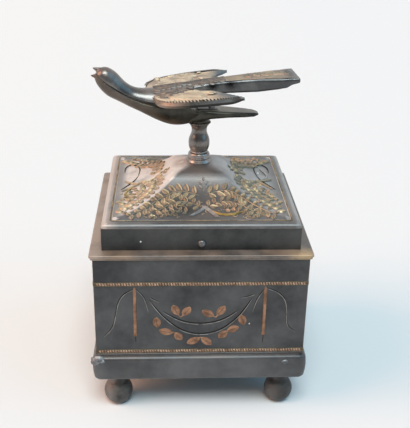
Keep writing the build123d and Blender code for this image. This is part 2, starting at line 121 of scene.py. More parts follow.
def started(name):
    """Names the primitive that was just added and opens it for editing."""
    piece = bpy.context.object
    piece.name = name
    piece.data.name = name
    bpy.ops.object.mode_set(mode="EDIT")
    bpy.ops.mesh.select_all(action="SELECT")
    return piece


def pick(piece, kind, passes):
    """Selects the vertices, edges or faces of a piece that pass a test, in edit mode."""
    bpy.ops.mesh.select_mode(type=kind)
    bpy.ops.mesh.select_all(action="DESELECT")
    mesh = bmesh.from_edit_mesh(piece.data)
    for item in {"VERT": mesh.verts, "EDGE": mesh.edges, "FACE": mesh.faces}[kind]:
        item.select_set(bool(passes(item)))
    mesh.select_flush_mode()
    bmesh.update_edit_mesh(piece.data)


def closed(piece, threshold=0.001):
    """Merges doubles, turns the faces outwards and leaves edit mode."""
    bpy.ops.mesh.select_all(action="SELECT")
    bpy.ops.mesh.remove_doubles(threshold=threshold * mm)
    bpy.ops.mesh.normals_make_consistent(inside=False)
    bpy.ops.object.mode_set(mode="OBJECT")
    return piece


def placed(piece):
    """Puts a piece's place, turn and size into its mesh."""
    hold(piece)
    bpy.ops.object.transform_apply(location=True, rotation=True, scale=True)
    return piece


def shaped_by(piece, kind, **values):
    """Adds a modifier and applies it."""
    hold(piece)
    modifier = piece.modifiers.new(kind.title(), kind)
    for name, value in values.items():
        setattr(modifier, name, value)
    bpy.ops.object.modifier_apply(modifier=modifier.name)
    return piece


def copied(piece, name, place=Matrix.Identity(4)):
    """A copy with its own mesh, moved by a matrix."""
    twin = bpy.data.objects.new(name, piece.data.copy())
    twin.data.name = name
    twin.data.transform(place)
    bpy.context.collection.objects.link(twin)
    return twin


def joined(pieces, name):
    """Several pieces made one mesh."""
    hold(pieces[0])
    for piece in pieces[1:]:
        piece.select_set(True)
    bpy.ops.object.join()
    whole = bpy.context.object
    whole.name = name
    whole.data.name = name
    return whole


def dropped(*pieces):
    """Removes pieces that were only there to be copied or to cut."""
    for piece in pieces:
        bpy.data.objects.remove(piece)


def settled(piece, body, material, stands_for, angle):
    """Applies a piece's place, smooths it, gives it its material and lets it ride on a body."""
    placed(piece)
    bpy.ops.object.shade_smooth_by_angle(angle=math.radians(angle))
    if material:
        piece.data.materials.clear()
        piece.data.materials.append(material)
    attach(piece, body)
    if stands_for:
        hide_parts(*stands_for)
    return piece


def moved(x, y, z):
    """A move by millimetres."""
    return Matrix.Translation((x * mm, y * mm, z * mm))


def quarter(index):
    """A turn by a number of quarters, from the front round to one of the four sides."""
    return Matrix.Rotation(index * math.pi / 2, 4, "Z")


def arc(start, middle, end, steps):
    """Points on the circle through three points of a flat outline."""
    ax, ay = start
    bx, by = middle
    cx, cy = end
    d = 2 * (ax * (by - cy) + bx * (cy - ay) + cx * (ay - by))
    a2, b2, c2 = ax * ax + ay * ay, bx * bx + by * by, cx * cx + cy * cy
    ox = (a2 * (by - cy) + b2 * (cy - ay) + c2 * (ay - by)) / d
    oy = (a2 * (cx - bx) + b2 * (ax - cx) + c2 * (bx - ax)) / d
    radius = math.hypot(ax - ox, ay - oy)
    turns = [math.atan2(y - oy, x - ox) for x, y in (start, middle, end)]
    for k in (1, 2):
        turns[k] -= 2 * math.pi * round((turns[k] - turns[k - 1]) / (2 * math.pi))
    sweep = turns[2] - turns[0]
    steps_along = [turns[0] + sweep * i / steps for i in range(steps + 1)]
    return [(ox + radius * math.cos(t), oy + radius * math.sin(t)) for t in steps_along]


# Ways of making
def drawn_up(extrude, outline):
    """Draws what is selected up ring by ring, along an outline of (half width, height)."""
    half, height = outline[0]
    for next_half, next_height in outline[1:]:
        extrude(TRANSFORM_OT_translate={"value": (0, 0, (next_height - height) * mm)})
        grow = next_half / half
        bpy.ops.transform.resize(value=(grow, grow, 1), center_override=(0, 0, next_height * mm))
        half, height = next_half, next_height


def turned(name, outline, facets=48):
    """A turned piece: a disc drawn up along an outline of (radius, height)."""
    hold(None)
    radius, height = outline[0]
    size = {"radius": radius * mm, "location": (0, 0, height * mm)}
    bpy.ops.mesh.primitive_circle_add(vertices=facets, fill_type="NGON", **size)
    piece = started(name)
    drawn_up(bpy.ops.mesh.extrude_region_move, outline)
    return placed(closed(piece))


def framed(name, outline, corner, corner_steps=5):
    """A square ring with rounded corners, drawn along a closed outline of (half width, height)."""
    hold(None)
    half, height = outline[0]
    bpy.ops.mesh.primitive_plane_add(size=2 * half * mm, location=(0, 0, height * mm))
    piece = started(name)
    bpy.ops.mesh.bevel(offset=corner * mm, segments=corner_steps, affect="VERTICES")
    bpy.ops.mesh.select_all(action="SELECT")
    bpy.ops.mesh.delete(type="ONLY_FACE")
    bpy.ops.mesh.select_mode(type="EDGE")
    bpy.ops.mesh.select_all(action="SELECT")
    drawn_up(bpy.ops.mesh.extrude_edges_move, [*outline, outline[0]])
    return placed(closed(piece))


def pressed_ball(name, place, radius, fineness, press, smoothing=0.0):
    """A small ball pressed out of round."""
    hold(None)
    size = {"radius": radius * mm, "location": [c * mm for c in place]}
    bpy.ops.mesh.primitive_ico_sphere_add(subdivisions=fineness, **size)
    piece = started(name)
    bpy.ops.transform.resize(value=press)
    if smoothing:
        bpy.ops.mesh.vertices_smooth(factor=smoothing)
    return closed(piece)


def softened_copy(node, name, voxel, passes):
    """A casting's own form with its edges softened as a mould leaves them."""
    piece = copied(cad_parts[node], name)
    hold(piece)
    bpy.ops.object.mode_set(mode="EDIT")
    closed(piece, 0.02)
    shaped_by(piece, "REMESH", mode="VOXEL", voxel_size=voxel * mm)
    return shaped_by(piece, "SMOOTH", factor=0.5, iterations=passes)


def round_line(name, points, radius):
    """A round bar along a smooth line, thin at its two ends, as a mesh."""
    curve = bpy.data.curves.new(name, "CURVE")
    curve.dimensions = "3D"
    curve.bevel_depth = radius * mm
    curve.bevel_resolution = 1
    curve.resolution_u = 6
    curve.use_fill_caps = True
    spline = curve.splines.new("NURBS")
    spline.points.add(len(points) - 1)
    for i, point in enumerate(points):
        spline.points[i].co = (*(c * mm for c in point), 1)
        at_end = i in (0, len(points) - 1)
        spline.points[i].radius = 0.25 if at_end else 1.0
    spline.order_u = 3
    spline.use_endpoint_u = True
    path = bpy.data.objects.new(name, curve)
    bpy.context.collection.objects.link(path)
    hold(path)
    bpy.ops.object.convert(target="MESH")
    return evenly_toned(bpy.context.object, 0.7)


def toned(piece, tones):
    """Stores how much painted shade each vertex gets: 0 in a groove or on a rim, which is painted dark,
    1 on a raised part.
    """
    tone = piece.data.attributes.new("tone", "FLOAT", "POINT")
    tone.data.foreach_set("value", tones)
    return piece


def evenly_toned(piece, tone):
    """Gives every vertex the same tone."""
    return toned(piece, [tone] * len(piece.data.vertices))


def leaf_blank(name, widths, ridge, vein):
    """A leaf one unit long and wide, with two swelling halves and a sunk vein."""
    hold(None)
    cells = {"x_subdivisions": len(widths) - 1, "y_subdivisions": 4}
    bpy.ops.mesh.primitive_grid_add(size=1, location=(0.5, 0, 0), **cells)
    leaf = started(name)
    mesh = bmesh.from_edit_mesh(leaf.data)
    heights = {-2: -0.3, -1: ridge, 0: vein, 1: ridge, 2: -0.3}
    rows = [0.0] * len(mesh.verts)
    for vertex in mesh.verts:
        column = round((vertex.co.x + 0.5) * (len(widths) - 1))
        row = round(vertex.co.y * 4)
        rows[vertex.index] = 1.0 if abs(row) == 1 else 0.0
        width = widths[column]
        vertex.co.y *= width
        vertex.co.z = heights[row] * min(1.0, 0.25 + width)
    bmesh.update_edit_mesh(leaf.data)
    bpy.ops.object.mode_set(mode="OBJECT")
    placed(leaf)
    return toned(leaf, rows)


def laid(blank, place, along, out, length, width, height):
    """A copy of a blank laid at a place, its length along one direction and its face outwards."""
    x = Vector(along).normalized()
    z = Vector(out).normalized()
    y = z.cross(x).normalized()
    z = x.cross(y)
    turn = Matrix((x, y, z)).transposed().to_4x4()
    size = Matrix.Diagonal((length * mm, width * mm, height * mm, 1))
    return copied(blank, "laid", Matrix.Translation(Vector(place) * mm) @ turn @ size)


# Materials
def put(tree, kind, inputs=(), **settings):
    """A shader node with its settings, and its inputs linked or set."""
    made = tree.nodes.new(kind)
    for name, value in settings.items():
        setattr(made, name, value)
    for key, value in dict(inputs).items():
        if isinstance(value, bpy.types.NodeSocket):
            tree.links.new(value, made.inputs[key])
        else:
            made.inputs[key].default_value = value
    return made


def blended(tree, amount, first, second):
    """Two colours mixed by an amount."""
    mix = put(tree, "ShaderNodeMix", data_type="RGBA")
    for key, value in ((0, amount), (6, first), (7, second)):
        if isinstance(value, bpy.types.NodeSocket):
            tree.links.new(value, mix.inputs[key])
        else:
            mix.inputs[key].default_value = value
    return mix.outputs[2]


def ramp(tree, value, low, high):
    """A value stretched so that low becomes 0 and high becomes 1."""
    stretch = put(tree, "ShaderNodeMapRange", {"Value": value, "From Min": low, "From Max": high})
    return stretch.outputs[0]


def product(tree, first, second, clamp=True):
    """Two values multiplied."""
    made = put(tree, "ShaderNodeMath", {0: first, 1: second}, operation="MULTIPLY", use_clamp=clamp)
    return made.outputs[0]


def object_place(tree):
    """The place on the object, in metres."""
    return put(tree, "ShaderNodeTexCoord").outputs["Object"]


def noise(tree, scale, detail):
    """Soft noise that stays fixed to the object."""
    inputs = {"Vector": object_place(tree), "Scale": scale, "Detail": detail}
    return put(tree, "ShaderNodeTexNoise", inputs).outputs[0]


def new_group(name, inputs, outputs):
    """An empty node group with named values going in and coming out."""
    group = bpy.data.node_groups.new(name, "ShaderNodeTree")
    for labels, way in ((inputs, "INPUT"), (outputs, "OUTPUT")):
        for label in labels:
            group.interface.new_socket(label, in_out=way, socket_type="NodeSocketFloat")
    given = group.nodes.new("NodeGroupInput").outputs
    return group, given, group.nodes.new("NodeGroupOutput").inputs


def worn_edges_group():
    """Where an edge is rubbed bare: strong on sharp edges and broken up by a noise."""
    group, given, result = new_group("worn edges", ("Width",), ("Mask",))
    rounded = put(group, "ShaderNodeBevel", {"Radius": given["Width"]}, samples=6)
    flat = put(group, "ShaderNodeNewGeometry").outputs["Normal"]
    normals = {0: rounded.outputs[0], 1: flat}
    same = put(group, "ShaderNodeVectorMath", normals, operation="DOT_PRODUCT").outputs["Value"]
    bent = put(group, "ShaderNodeMath", {0: 1.0, 1: same}, operation="SUBTRACT").outputs[0]
    strong = product(group, bent, 3.2, clamp=False)
    broken = ramp(group, noise(group, 260.0, 4.0), 0.32, 0.62)
    group.links.new(product(group, strong, broken), result["Mask"])
    return group


def mottle_group():
    """Slow clouds of old finish with finer specks in them."""
    group, given, result = new_group("mottle", ("Scale", "Low", "High", "Seed"), ("Mask", "Specks"))
    clouds = {"Vector": object_place(group), "W": given["Seed"], "Scale": given["Scale"]}
    clouds |= {"Detail": 6.0, "Roughness": 0.62}
    slow = put(group, "ShaderNodeTexNoise", clouds, noise_dimensions="4D").outputs[0]
    group.links.new(ramp(group, slow, given["Low"], given["High"]), result["Mask"])
    finer = product(group, given["Scale"], 14.0, clamp=False)
    group.links.new(ramp(group, noise(group, finer, 2.0), 0.58, 0.72), result["Specks"])
    return group


def skin_group():
    """Height of a hand-worked skin: slow dents and fine pits."""
    group, given, result = new_group("worked skin", ("Dents", "Pits", "Pit share"), ("Height",))
    dents = noise(group, given["Dents"], 2.0)
    pits = product(group, noise(group, given["Pits"], 3.0), given["Pit share"], clamp=False)
    both = put(group, "ShaderNodeMath", {0: dents, 1: pits}, operation="ADD")
    group.links.new(both.outputs[0], result["Height"])
    return group


def rubbed_group():
    """Where hands and cloths have rubbed: faces that look up, in patches."""
    group, given, result = new_group("rubbed tops", ("Scale",), ("Mask",))
    normal = put(group, "ShaderNodeNewGeometry").outputs["Normal"]
    up = put(group, "ShaderNodeSeparateXYZ", {0: normal}).outputs["Z"]
    patches = ramp(group, noise(group, given["Scale"], 5.0), 0.42, 0.66)
    group.links.new(product(group, ramp(group, up, 0.25, 0.95), patches), result["Mask"])
    return group


worn_edges = worn_edges_group()
mottle = mottle_group()
worked_skin = skin_group()
rubbed_tops = rubbed_group()


def grouped(tree, group, **values):
    """A group used in a material, with its values set; gives what comes out of it."""
    made = put(tree, "ShaderNodeGroup", node_tree=group)
    for name, value in values.items():
        made.inputs[name.replace("_", " ")].default_value = value
    return made.outputs


def started_material(name):
    """A new material, its node tree and its shader."""
    material = bpy.data.materials.new(name)
    material.use_nodes = True
    return material, material.node_tree, material.node_tree.nodes["Principled BSDF"]


def bumped(tree, shader, height, strength, depth):
    """Lets a height from 0 to 1 press into the surface, a depth in millimetres."""
    inputs = {"Height": height, "Strength": strength, "Distance": depth * mm}
    bump = put(tree, "ShaderNodeBump", inputs)
    tree.links.new(bump.outputs[0], shader.inputs["Normal"])


def metal(
    name, dark, light, bare,
    tops=0.5, edges=1.0, edge_width=0.7, rough=(0.38, 0.6), metallic=0.35,
    cloud=60.0, skin=0.25, dents=90.0, seed=0.0, index=1.5,
):
    """Patinated metal: two clouded tones, rubbed tops and bare edges over a worked skin."""
    material, tree, shader = started_material(name)
    clouds = grouped(tree, mottle, Scale=cloud, Low=0.38, High=0.64, Seed=seed)
    colour = blended(tree, clouds["Mask"], (*dark, 1), (*light, 1))
    rub = grouped(tree, rubbed_tops, Scale=cloud * 0.8)
    colour = blended(tree, product(tree, rub["Mask"], tops), colour, (*bare, 1))
    edge = grouped(tree, worn_edges, Width=edge_width * mm)
    colour = blended(tree, product(tree, edge["Mask"], edges), colour, (*bare, 1))
    tree.links.new(colour, shader.inputs["Base Color"])
    reach = {"Value": clouds["Mask"], "To Min": rough[0], "To Max": rough[1]}
    gloss = put(tree, "ShaderNodeMapRange", reach)
    tree.links.new(gloss.outputs[0], shader.inputs["Roughness"])
    shader.inputs["Metallic"].default_value = metallic
    shader.inputs["IOR"].default_value = index
    height = grouped(tree, worked_skin, Dents=dents, Pits=1500.0, Pit_share=0.25)
    bumped(tree, shader, height["Height"], skin, 0.6)
    return material


def tinted(material, amount, colour):
    """Lays another colour over a material's own by an amount."""
    tree = material.node_tree
    base = tree.nodes["Principled BSDF"].inputs["Base Color"]
    tree.links.new(blended(tree, amount, base.links[0].from_socket, (*colour, 1)), base)


def wear_and_light_tint(material, colour, share, way, low, high):
    """A tint in patches that grows along x of a place or of the surface's lean: real wear on some parts,
    painted light and shade on others.
    """
    tree = material.node_tree
    across = put(tree, "ShaderNodeSeparateXYZ", {0: way}).outputs["X"]
    patches = grouped(tree, mottle, Scale=70.0, Low=0.2, High=0.52, Seed=21.0)
    worn = product(tree, ramp(tree, across, low, high), patches["Mask"])
    tinted(material, product(tree, worn, share), colour)


def side_light_and_wear(material, colour, share, low, high):
    """A tint on faces that look to one side, from the lean where it starts to where it is full: painted
    light and shade of a side, with some wear.
    """
    normal = put(material.node_tree, "ShaderNodeNewGeometry").outputs["Normal"]
    wear_and_light_tint(material, colour, share, normal, low, high)


def end_wear_and_light(material, colour, share, low, high):
    """A tint towards one end, from the place along x where it starts to where it is full: wear and a
    part's own colour on some parts, painted light and shade on others.
    """
    wear_and_light_tint(material, colour, share, object_place(material.node_tree), low * mm, high * mm)


def spot_of_wear_and_highlight(material, colour, share, place, reach, seed=31.0):
    """A ragged patch round one place: where the surface was rubbed or stained, and on the lid's relief a
    painted highlight.
    """
    tree = material.node_tree
    middle = tuple(c * mm for c in place)
    places = {0: object_place(tree), 1: middle}
    away = put(tree, "ShaderNodeVectorMath", places, operation="DISTANCE").outputs["Value"]
    near = ramp(tree, away, reach * mm, 0.3 * reach * mm)
    patches = grouped(tree, mottle, Scale=260.0, Low=0.3, High=0.5, Seed=seed)
    worn = product(tree, near, patches["Mask"])
    tinted(material, product(tree, worn, share), colour)


def shade_painted_in_grooves(material, colour):
    """Paints shade into the veins and rims of relief: a darker colour standing in for the shade in its
    crevices.
    """
    tree = material.node_tree
    base = tree.nodes["Principled BSDF"].inputs["Base Color"]
    tone = put(tree, "ShaderNodeAttribute", attribute_name="tone").outputs["Fac"]
    raised = ramp(tree, tone, 0.0, 0.22)
    tree.links.new(blended(tree, raised, (*colour, 1), base.links[0].from_socket), base)


def board_wood():
    """Plain thin board with its grain along y."""
    material, tree, shader = started_material("thin board")
    stretched = {"Vector": object_place(tree), "Scale": (320.0, 18.0, 320.0)}
    drawn = put(tree, "ShaderNodeMapping", stretched).outputs[0]
    grain = put(tree, "ShaderNodeTexNoise", {"Vector": drawn, "Scale": 1.0, "Detail": 6.0}).outputs[0]
    dark, light = (0.22, 0.13, 0.07, 1), (0.4, 0.27, 0.16, 1)
    colour = blended(tree, ramp(tree, grain, 0.35, 0.65), dark, light)
    tree.links.new(colour, shader.inputs["Base Color"])
    bumped(tree, shader, grain, 0.2, 0.2)
    shader.inputs["Roughness"].default_value = 0.7
    return material


def velvet():
    """Old red velvet: a short pile in rubbed patches."""
    material, tree, shader = started_material("velvet")
    clouds = grouped(tree, mottle, Scale=35.0, Low=0.35, High=0.65, Seed=3.0)
    colour = blended(tree, clouds["Mask"], (0.12, 0.012, 0.018, 1), (0.24, 0.035, 0.04, 1))
    colour = blended(tree, clouds["Specks"], colour, (0.32, 0.07, 0.07, 1))
    tree.links.new(colour, shader.inputs["Base Color"])
    pile = grouped(tree, worked_skin, Dents=700.0, Pits=5200.0, Pit_share=0.8)
    bumped(tree, shader, pile["Height"], 0.5, 0.4)
    shader.inputs["Roughness"].default_value = 0.95
    shader.inputs["Sheen Weight"].default_value = 0.5
    shader.inputs["Sheen Roughness"].default_value = 0.4
    return material


soot = (0.030, 0.032, 0.034)
slate = (0.092, 0.094, 0.096)
warm_bare = (0.36, 0.235, 0.175)
sheet_metal = metal(
    "blackened sheet", soot, slate, warm_bare,
    tops=0.12, edges=0.5, cloud=38.0, rough=(0.36, 0.5),
)
band_metal = metal(
    "blackened band", (0.022, 0.024, 0.025), (0.066, 0.067, 0.066), warm_bare,
    tops=0.12, edges=0.5, cloud=46.0, rough=(0.36, 0.5), seed=26.0,
)
moulding_metal = metal(
    "blackened moulding", (0.05, 0.052, 0.055), (0.11, 0.112, 0.115), warm_bare,
    tops=0.2, edges=0.5, cloud=45.0, rough=(0.34, 0.46), seed=17.0, index=1.6,
)
ledge_metal = metal(
    "rubbed ledge", (0.07, 0.062, 0.057), (0.2, 0.165, 0.14), (0.42, 0.29, 0.2),
    tops=0.6, cloud=55.0, seed=2.0, index=1.8,
)
# Painted light, partly wear: the left end of the ledge is lighter and warmer, where the warm lamp falls
# on it.
end_wear_and_light(ledge_metal, (0.42, 0.32, 0.26), 0.9, -50, -58)
spot_of_wear_and_highlight(ledge_metal, (0.62, 0.44, 0.22), 0.6, (57, -62, 102.5), 11)
spot_of_wear_and_highlight(ledge_metal, (0.4, 0.27, 0.17), 0.5, (-44, -62, 102.5), 13, 34.0)
crown_metal = metal(
    "blackened crown", (0.045, 0.047, 0.05), (0.11, 0.108, 0.108), (0.34, 0.28, 0.24),
    tops=0.28, edges=0.3, edge_width=1.2, cloud=48.0, metallic=0.3, seed=4.0, rough=(0.34, 0.46),
    index=2.0,
)
# Painted light, partly rubbed wear: faces that look left are pale and warm where the warm lamp falls,
# faces that look right pale grey, and the left end lighter.
side_light_and_wear(crown_metal, (0.8, 0.71, 0.65), 1.0, -0.03, -0.13)
side_light_and_wear(crown_metal, (0.34, 0.34, 0.34), 0.9, 0.02, 0.16)
end_wear_and_light(crown_metal, (0.5, 0.4, 0.34), 0.9, -45, -55)
spot_of_wear_and_highlight(crown_metal, (0.4, 0.24, 0.16), 0.75, (-9, -2, 138), 9, 38.0)
spot_of_wear_and_highlight(crown_metal, (0.2, 0.15, 0.12), 0.35, (2, -15, 135), 12, 39.0)
crown_relief = metal(
    "relief gilding", (0.15, 0.11, 0.07), (0.5, 0.37, 0.2), (0.85, 0.67, 0.4),
    tops=0.75, edge_width=0.35, cloud=170.0, metallic=0.4, rough=(0.34, 0.5), skin=0.3, seed=8.0,
)
# Painted light: the relief on faces that look left is lighter and warmer, on faces that look right
# darker and greyer, for how the lamps fall there.
side_light_and_wear(crown_relief, (0.46, 0.35, 0.27), 0.75, -0.08, -0.3)
side_light_and_wear(crown_relief, (0.19, 0.18, 0.14), 0.9, 0.06, 0.26)
# Painted highlights: bright gold spots on the relief where it catches the light.
painted_gold_highlights = (
    (-28.3, 0.6, 127, 6),
    (-16.3, -17.5, 128, 5),
    (-9.1, -17.7, 129, 4),
    (13.2, -16.1, 128, 4),
)
for *spot, spot_reach in painted_gold_highlights:
    spot_of_wear_and_highlight(crown_relief, (0.95, 0.72, 0.34), 0.9, spot, spot_reach, 41.0)
foot_metal = metal(
    "rough casting", (0.035, 0.033, 0.032), (0.12, 0.11, 0.1), (0.24, 0.19, 0.15),
    tops=0.2, edges=0.3, cloud=120.0, rough=(0.45, 0.62), metallic=0.3, skin=0.8, dents=420.0,
    seed=18.0,
)
# Painted light and shade: faces of the feet that look left are lighter where the warm lamp falls, and
# the feet on the right are darker.
side_light_and_wear(foot_metal, (0.22, 0.2, 0.19), 0.85, 0.0, -0.6)
end_wear_and_light(foot_metal, (0.028, 0.027, 0.027), 0.6, 20, 50)
casting = metal(
    "blackened casting", (0.115, 0.11, 0.106), (0.31, 0.285, 0.27), (0.42, 0.31, 0.25),
    tops=0.25, cloud=90.0, rough=(0.22, 0.34), metallic=0.85, seed=1.0,
)
spot_of_wear_and_highlight(casting, (0.5, 0.45, 0.42), 0.8, (0, -6, 139.5), 9, 42.0)
lower_metal = metal(
    "lever bronze", (0.022, 0.021, 0.018), (0.085, 0.08, 0.06), (0.26, 0.22, 0.12),
    tops=0.35, edges=0.8, cloud=80.0, rough=(0.26, 0.4), metallic=0.6, skin=0.12, seed=19.0,
)
end_wear_and_light(lower_metal, (0.2, 0.155, 0.135), 0.6, -22, -45)
bird_metal = metal(
    "bird casting", (0.095, 0.1, 0.1), (0.26, 0.26, 0.255), (0.4, 0.29, 0.23),
    tops=0.25, edges=0.6, cloud=80.0, rough=(0.27, 0.4), metallic=0.85, skin=0.14, seed=5.0,
)
end_wear_and_light(bird_metal, (0.075, 0.077, 0.08), 0.85, 0, 12)
end_wear_and_light(bird_metal, (0.17, 0.13, 0.115), 0.75, -47, -55)
spot_of_wear_and_highlight(bird_metal, (0.008, 0.008, 0.009), 1.0, (7.2, -6, 185.2), 4.5, 36.0)
spot_of_wear_and_highlight(bird_metal, (0.008, 0.008, 0.009), 1.0, (17.4, -6, 186.5), 4.5, 37.0)
gilded = metal(
    "worn gilding", (0.28, 0.21, 0.16), (0.74, 0.61, 0.46), (0.86, 0.71, 0.48),
    tops=0.6, edge_width=0.5, cloud=130.0, metallic=0.3, rough=(0.4, 0.58), skin=0.5, seed=6.0,
)
end_wear_and_light(gilded, (0.13, 0.15, 0.16), 1.0, 4, 12)
edge_metal = metal(
    "wing edge", (0.012, 0.012, 0.012), (0.036, 0.035, 0.034), (0.3, 0.27, 0.22),
    tops=0.1, edges=0.3, edge_width=0.3, cloud=110.0, rough=(0.32, 0.48), metallic=0.5, skin=0.5,
    seed=22.0,
)
end_wear_and_light(edge_metal, (0.3, 0.235, 0.19), 0.9, -6, -20)
back_metal = metal(
    "back feathers", (0.07, 0.068, 0.066), (0.2, 0.165, 0.14), (0.4, 0.32, 0.25),
    tops=0.35, edges=0.8, edge_width=0.3, cloud=120.0, rough=(0.34, 0.5), metallic=0.4, skin=0.4,
    seed=23.0,
)
tail_gilt = metal(
    "worn tail", (0.15, 0.135, 0.125), (0.36, 0.29, 0.23), (0.6, 0.48, 0.3),
    tops=0.5, edge_width=0.35, cloud=110.0, rough=(0.36, 0.52), skin=0.4, seed=24.0,
)
end_wear_and_light(tail_gilt, (0.09, 0.092, 0.095), 1.0, 47.5, 52)
copper_inlay = metal(
    "copper inlay", (0.17, 0.085, 0.05), (0.44, 0.24, 0.145), (0.7, 0.47, 0.3),
    tops=0.6, edge_width=0.4, cloud=260.0, metallic=0.5, rough=(0.35, 0.5), skin=0.3, seed=7.0,
)
rope_metal = metal(
    "rope inlay", (0.2, 0.09, 0.05), (0.68, 0.44, 0.31), (1.0, 0.88, 0.74),
    tops=0.8, edge_width=0.3, cloud=330.0, metallic=0.4, rough=(0.35, 0.5), skin=0.3, seed=25.0,
)
# Painted shade: near black for the shaded inside of the engraved lines and for the incised loops on the
# lid's sides.
cut_line_shade = metal(
    "painted cut shade", (0.004, 0.004, 0.005), (0.015, 0.015, 0.016), (0.1, 0.1, 0.1),
    tops=0.2, edges=0.1, cloud=150.0, metallic=0.2, rough=(0.5, 0.7), seed=9.0,
)
# Painted highlight: bright bars laid along the lower lip of each engraved line, where light would catch
# it.
lip_highlight_metal = metal(
    "painted lip highlight", (0.05, 0.05, 0.05), (0.45, 0.44, 0.42), (0.8, 0.78, 0.74),
    tops=0.5, edges=0.3, cloud=170.0, metallic=0.5, rough=(0.25, 0.4), seed=12.0,
)
solder = metal(
    "old solder", (0.06, 0.065, 0.075), (0.3, 0.31, 0.33), (0.7, 0.68, 0.66),
    tops=0.6, cloud=330.0, metallic=0.3, rough=(0.35, 0.5), skin=0.6,
)
steel = metal(
    "plain steel", (0.11, 0.11, 0.115), (0.24, 0.24, 0.245), (0.5, 0.48, 0.46),
    tops=0.3, cloud=160.0, metallic=0.85, rough=(0.28, 0.42), skin=0.1,
)
hinge_metal = metal(
    "hinge brass", (0.05, 0.045, 0.035), (0.14, 0.115, 0.08), (0.5, 0.36, 0.18),
    tops=0.3, cloud=120.0, metallic=0.7, seed=10.0,
)
pewter = metal(
    "pewter ribbon", (0.17, 0.165, 0.16), (0.42, 0.41, 0.4), (0.7, 0.67, 0.62),
    tops=0.5, edges=0.6, edge_width=0.4, cloud=190.0, metallic=0.5, rough=(0.32, 0.5), seed=13.0,
)
gold_line = metal(
    "bright gilding", (0.2, 0.12, 0.03), (0.6, 0.4, 0.12), (0.85, 0.6, 0.25),
    tops=0.4, edges=0.5, edge_width=0.4, cloud=220.0, metallic=0.7, rough=(0.28, 0.42), seed=14.0,
)
border_gilt = metal(
    "border gilding", (0.1, 0.075, 0.045), (0.46, 0.34, 0.18), (0.66, 0.5, 0.27),
    tops=0.3, edges=0.6, edge_width=0.3, cloud=120.0, metallic=0.5, rough=(0.36, 0.5), seed=15.0,
)
# Bright white for the chips, and for one painted glint.
white_metal = metal(
    "bared metal and glint", (0.75, 0.75, 0.75), (0.85, 0.85, 0.84), (0.9, 0.9, 0.88),
    tops=0.2, edges=0.1, cloud=200.0, metallic=0.2, rough=(0.3, 0.4), seed=16.0,
)
# Painted shade: the dark colour laid into the veins and rims of each relief, for the shade in its
# crevices.
painted_groove_shade = (
    (gilded, (0.1, 0.08, 0.06)),
    (crown_relief, (0.05, 0.042, 0.034)),
    (copper_inlay, (0.06, 0.036, 0.026)),
    (back_metal, (0.035, 0.033, 0.032)),
    (tail_gilt, (0.1, 0.09, 0.085)),
    (pewter, (0.13, 0.125, 0.12)),
)
for relief, groove_shade in painted_groove_shade:
    shade_painted_in_grooves(relief, groove_shade)
spot_of_wear_and_highlight(tail_gilt, (0.5, 0.34, 0.14), 0.8, (50, -6, 186), 5, 40.0)
wood = board_wood()
cloth = velvet()


def coat_nodes():
    """Gives every node of the metal work its finish."""
    ends = ("left", "right")
    leaves = [f"hinge_{part}_leaf_{end}" for part in ("body", "lid") for end in ends]
    pins = [f"hinge_pin_{end}" for end in ends]
    works = ("foot_nuts", "post_nut", "post_washer", "pivot_pin", "spring_rivet")
    finishes = {
        sheet_metal: (*(f"wall_{side}" for side in sides), "base_plate", "lid_crown"),
        band_metal: ("lid_band",),
        ledge_metal: ("lid_flange", "rim_flange"),
        moulding_metal: [f"base_moulding_{side}" for side in sides],
        foot_metal: [f"foot_{row}_{end}" for row in ("front", "back") for end in ends],
        casting: ("post", "post_collar"),
        lower_metal: ("bird_lower",),
        bird_metal: ("bird_upper",),
        gilded: ("wing_left", "wing_right"),
        steel: (*works, *pins, "push_button", "catch_spring", "jaw_spring"),
        hinge_metal: (*leaves, "hinge_body_rivets", "hinge_lid_rivets"),
        wood: ("floor_board",),
        cloth: ("floor_lining", "wall_lining"),
    }
    for material, names in finishes.items():
        for name in names:
            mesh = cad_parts[name].data
            mesh.materials.clear()
            mesh.materials.append(material)


# Base
def make_feet():
    """Ball feet, each drawn up from its small flat to the flare under the case."""
    ball_top = foot_ball_middle + 0.84 * foot_ball_half
    ball = arc((2.2, 0.02), (foot_ball_half, foot_ball_middle), (4.6, ball_top), 16)
    neck = [(4.2, ball_top + 1.6), (4.2, foot_top - 2.6)]
    flare = [(4.5, foot_top - 1.2), (5.6, foot_top - 0.02)]
    foot = turned("foot", [*ball, *neck, *flare])
    for side, x in (("left", -foot_place), ("right", foot_place)):
        for end, y in (("front", -foot_place), ("back", foot_place)):
            one = copied(foot, f"ball_foot_{end}_{side}", moved(x, y, 0))
            settled(one, "box", foot_metal, (f"foot_{end}_{side}",), 50)
    dropped(foot)


def make_moulding():
    """Cushion moulding in one run, its corners rounded over the mitres."""
    low, high, inner = foot_top, 41.0, 54.5
    under = [(58.6, low), *arc((59.4, low), (61.3, 24.4), (62.0, 26.4), 4)]
    face = arc((62.25, 28.6), (62.5, 32.2), (62.35, 36.2), 4)
    over = arc((62.2, 37.4), (61.7, 38.9), (60.6, 39.7), 4)
    roll = [(60.35, 39.8), (60.25, 40.3), (60.05, 40.9), (60.0, high)]
    outline = [(inner, low), *under, *face, *over, *roll, (60.0, wall_low), (inner, wall_low)]
    moulding = framed("cushion_moulding", outline, 3.2)
    nodes = [f"base_moulding_{side}" for side in sides]
    settled(moulding, "box", moulding_metal, nodes, 40)


# Drops of solder: place x, y, z and radius
solder_drops = (
    (-58.6, -60.9, 38.2, 2.9),
    (-60.2, -60.6, 36.4, 2.9),
    (-56.4, -61.4, 37.2, 1.7),
    (-61.4, -58.2, 36.8, 1.9),
    (58.6, -61.0, 37.6, 1.6),
    (60.0, -60.8, 33.6, 1.2),
    (49.5, -61.5, 35.8, 2.2),
)


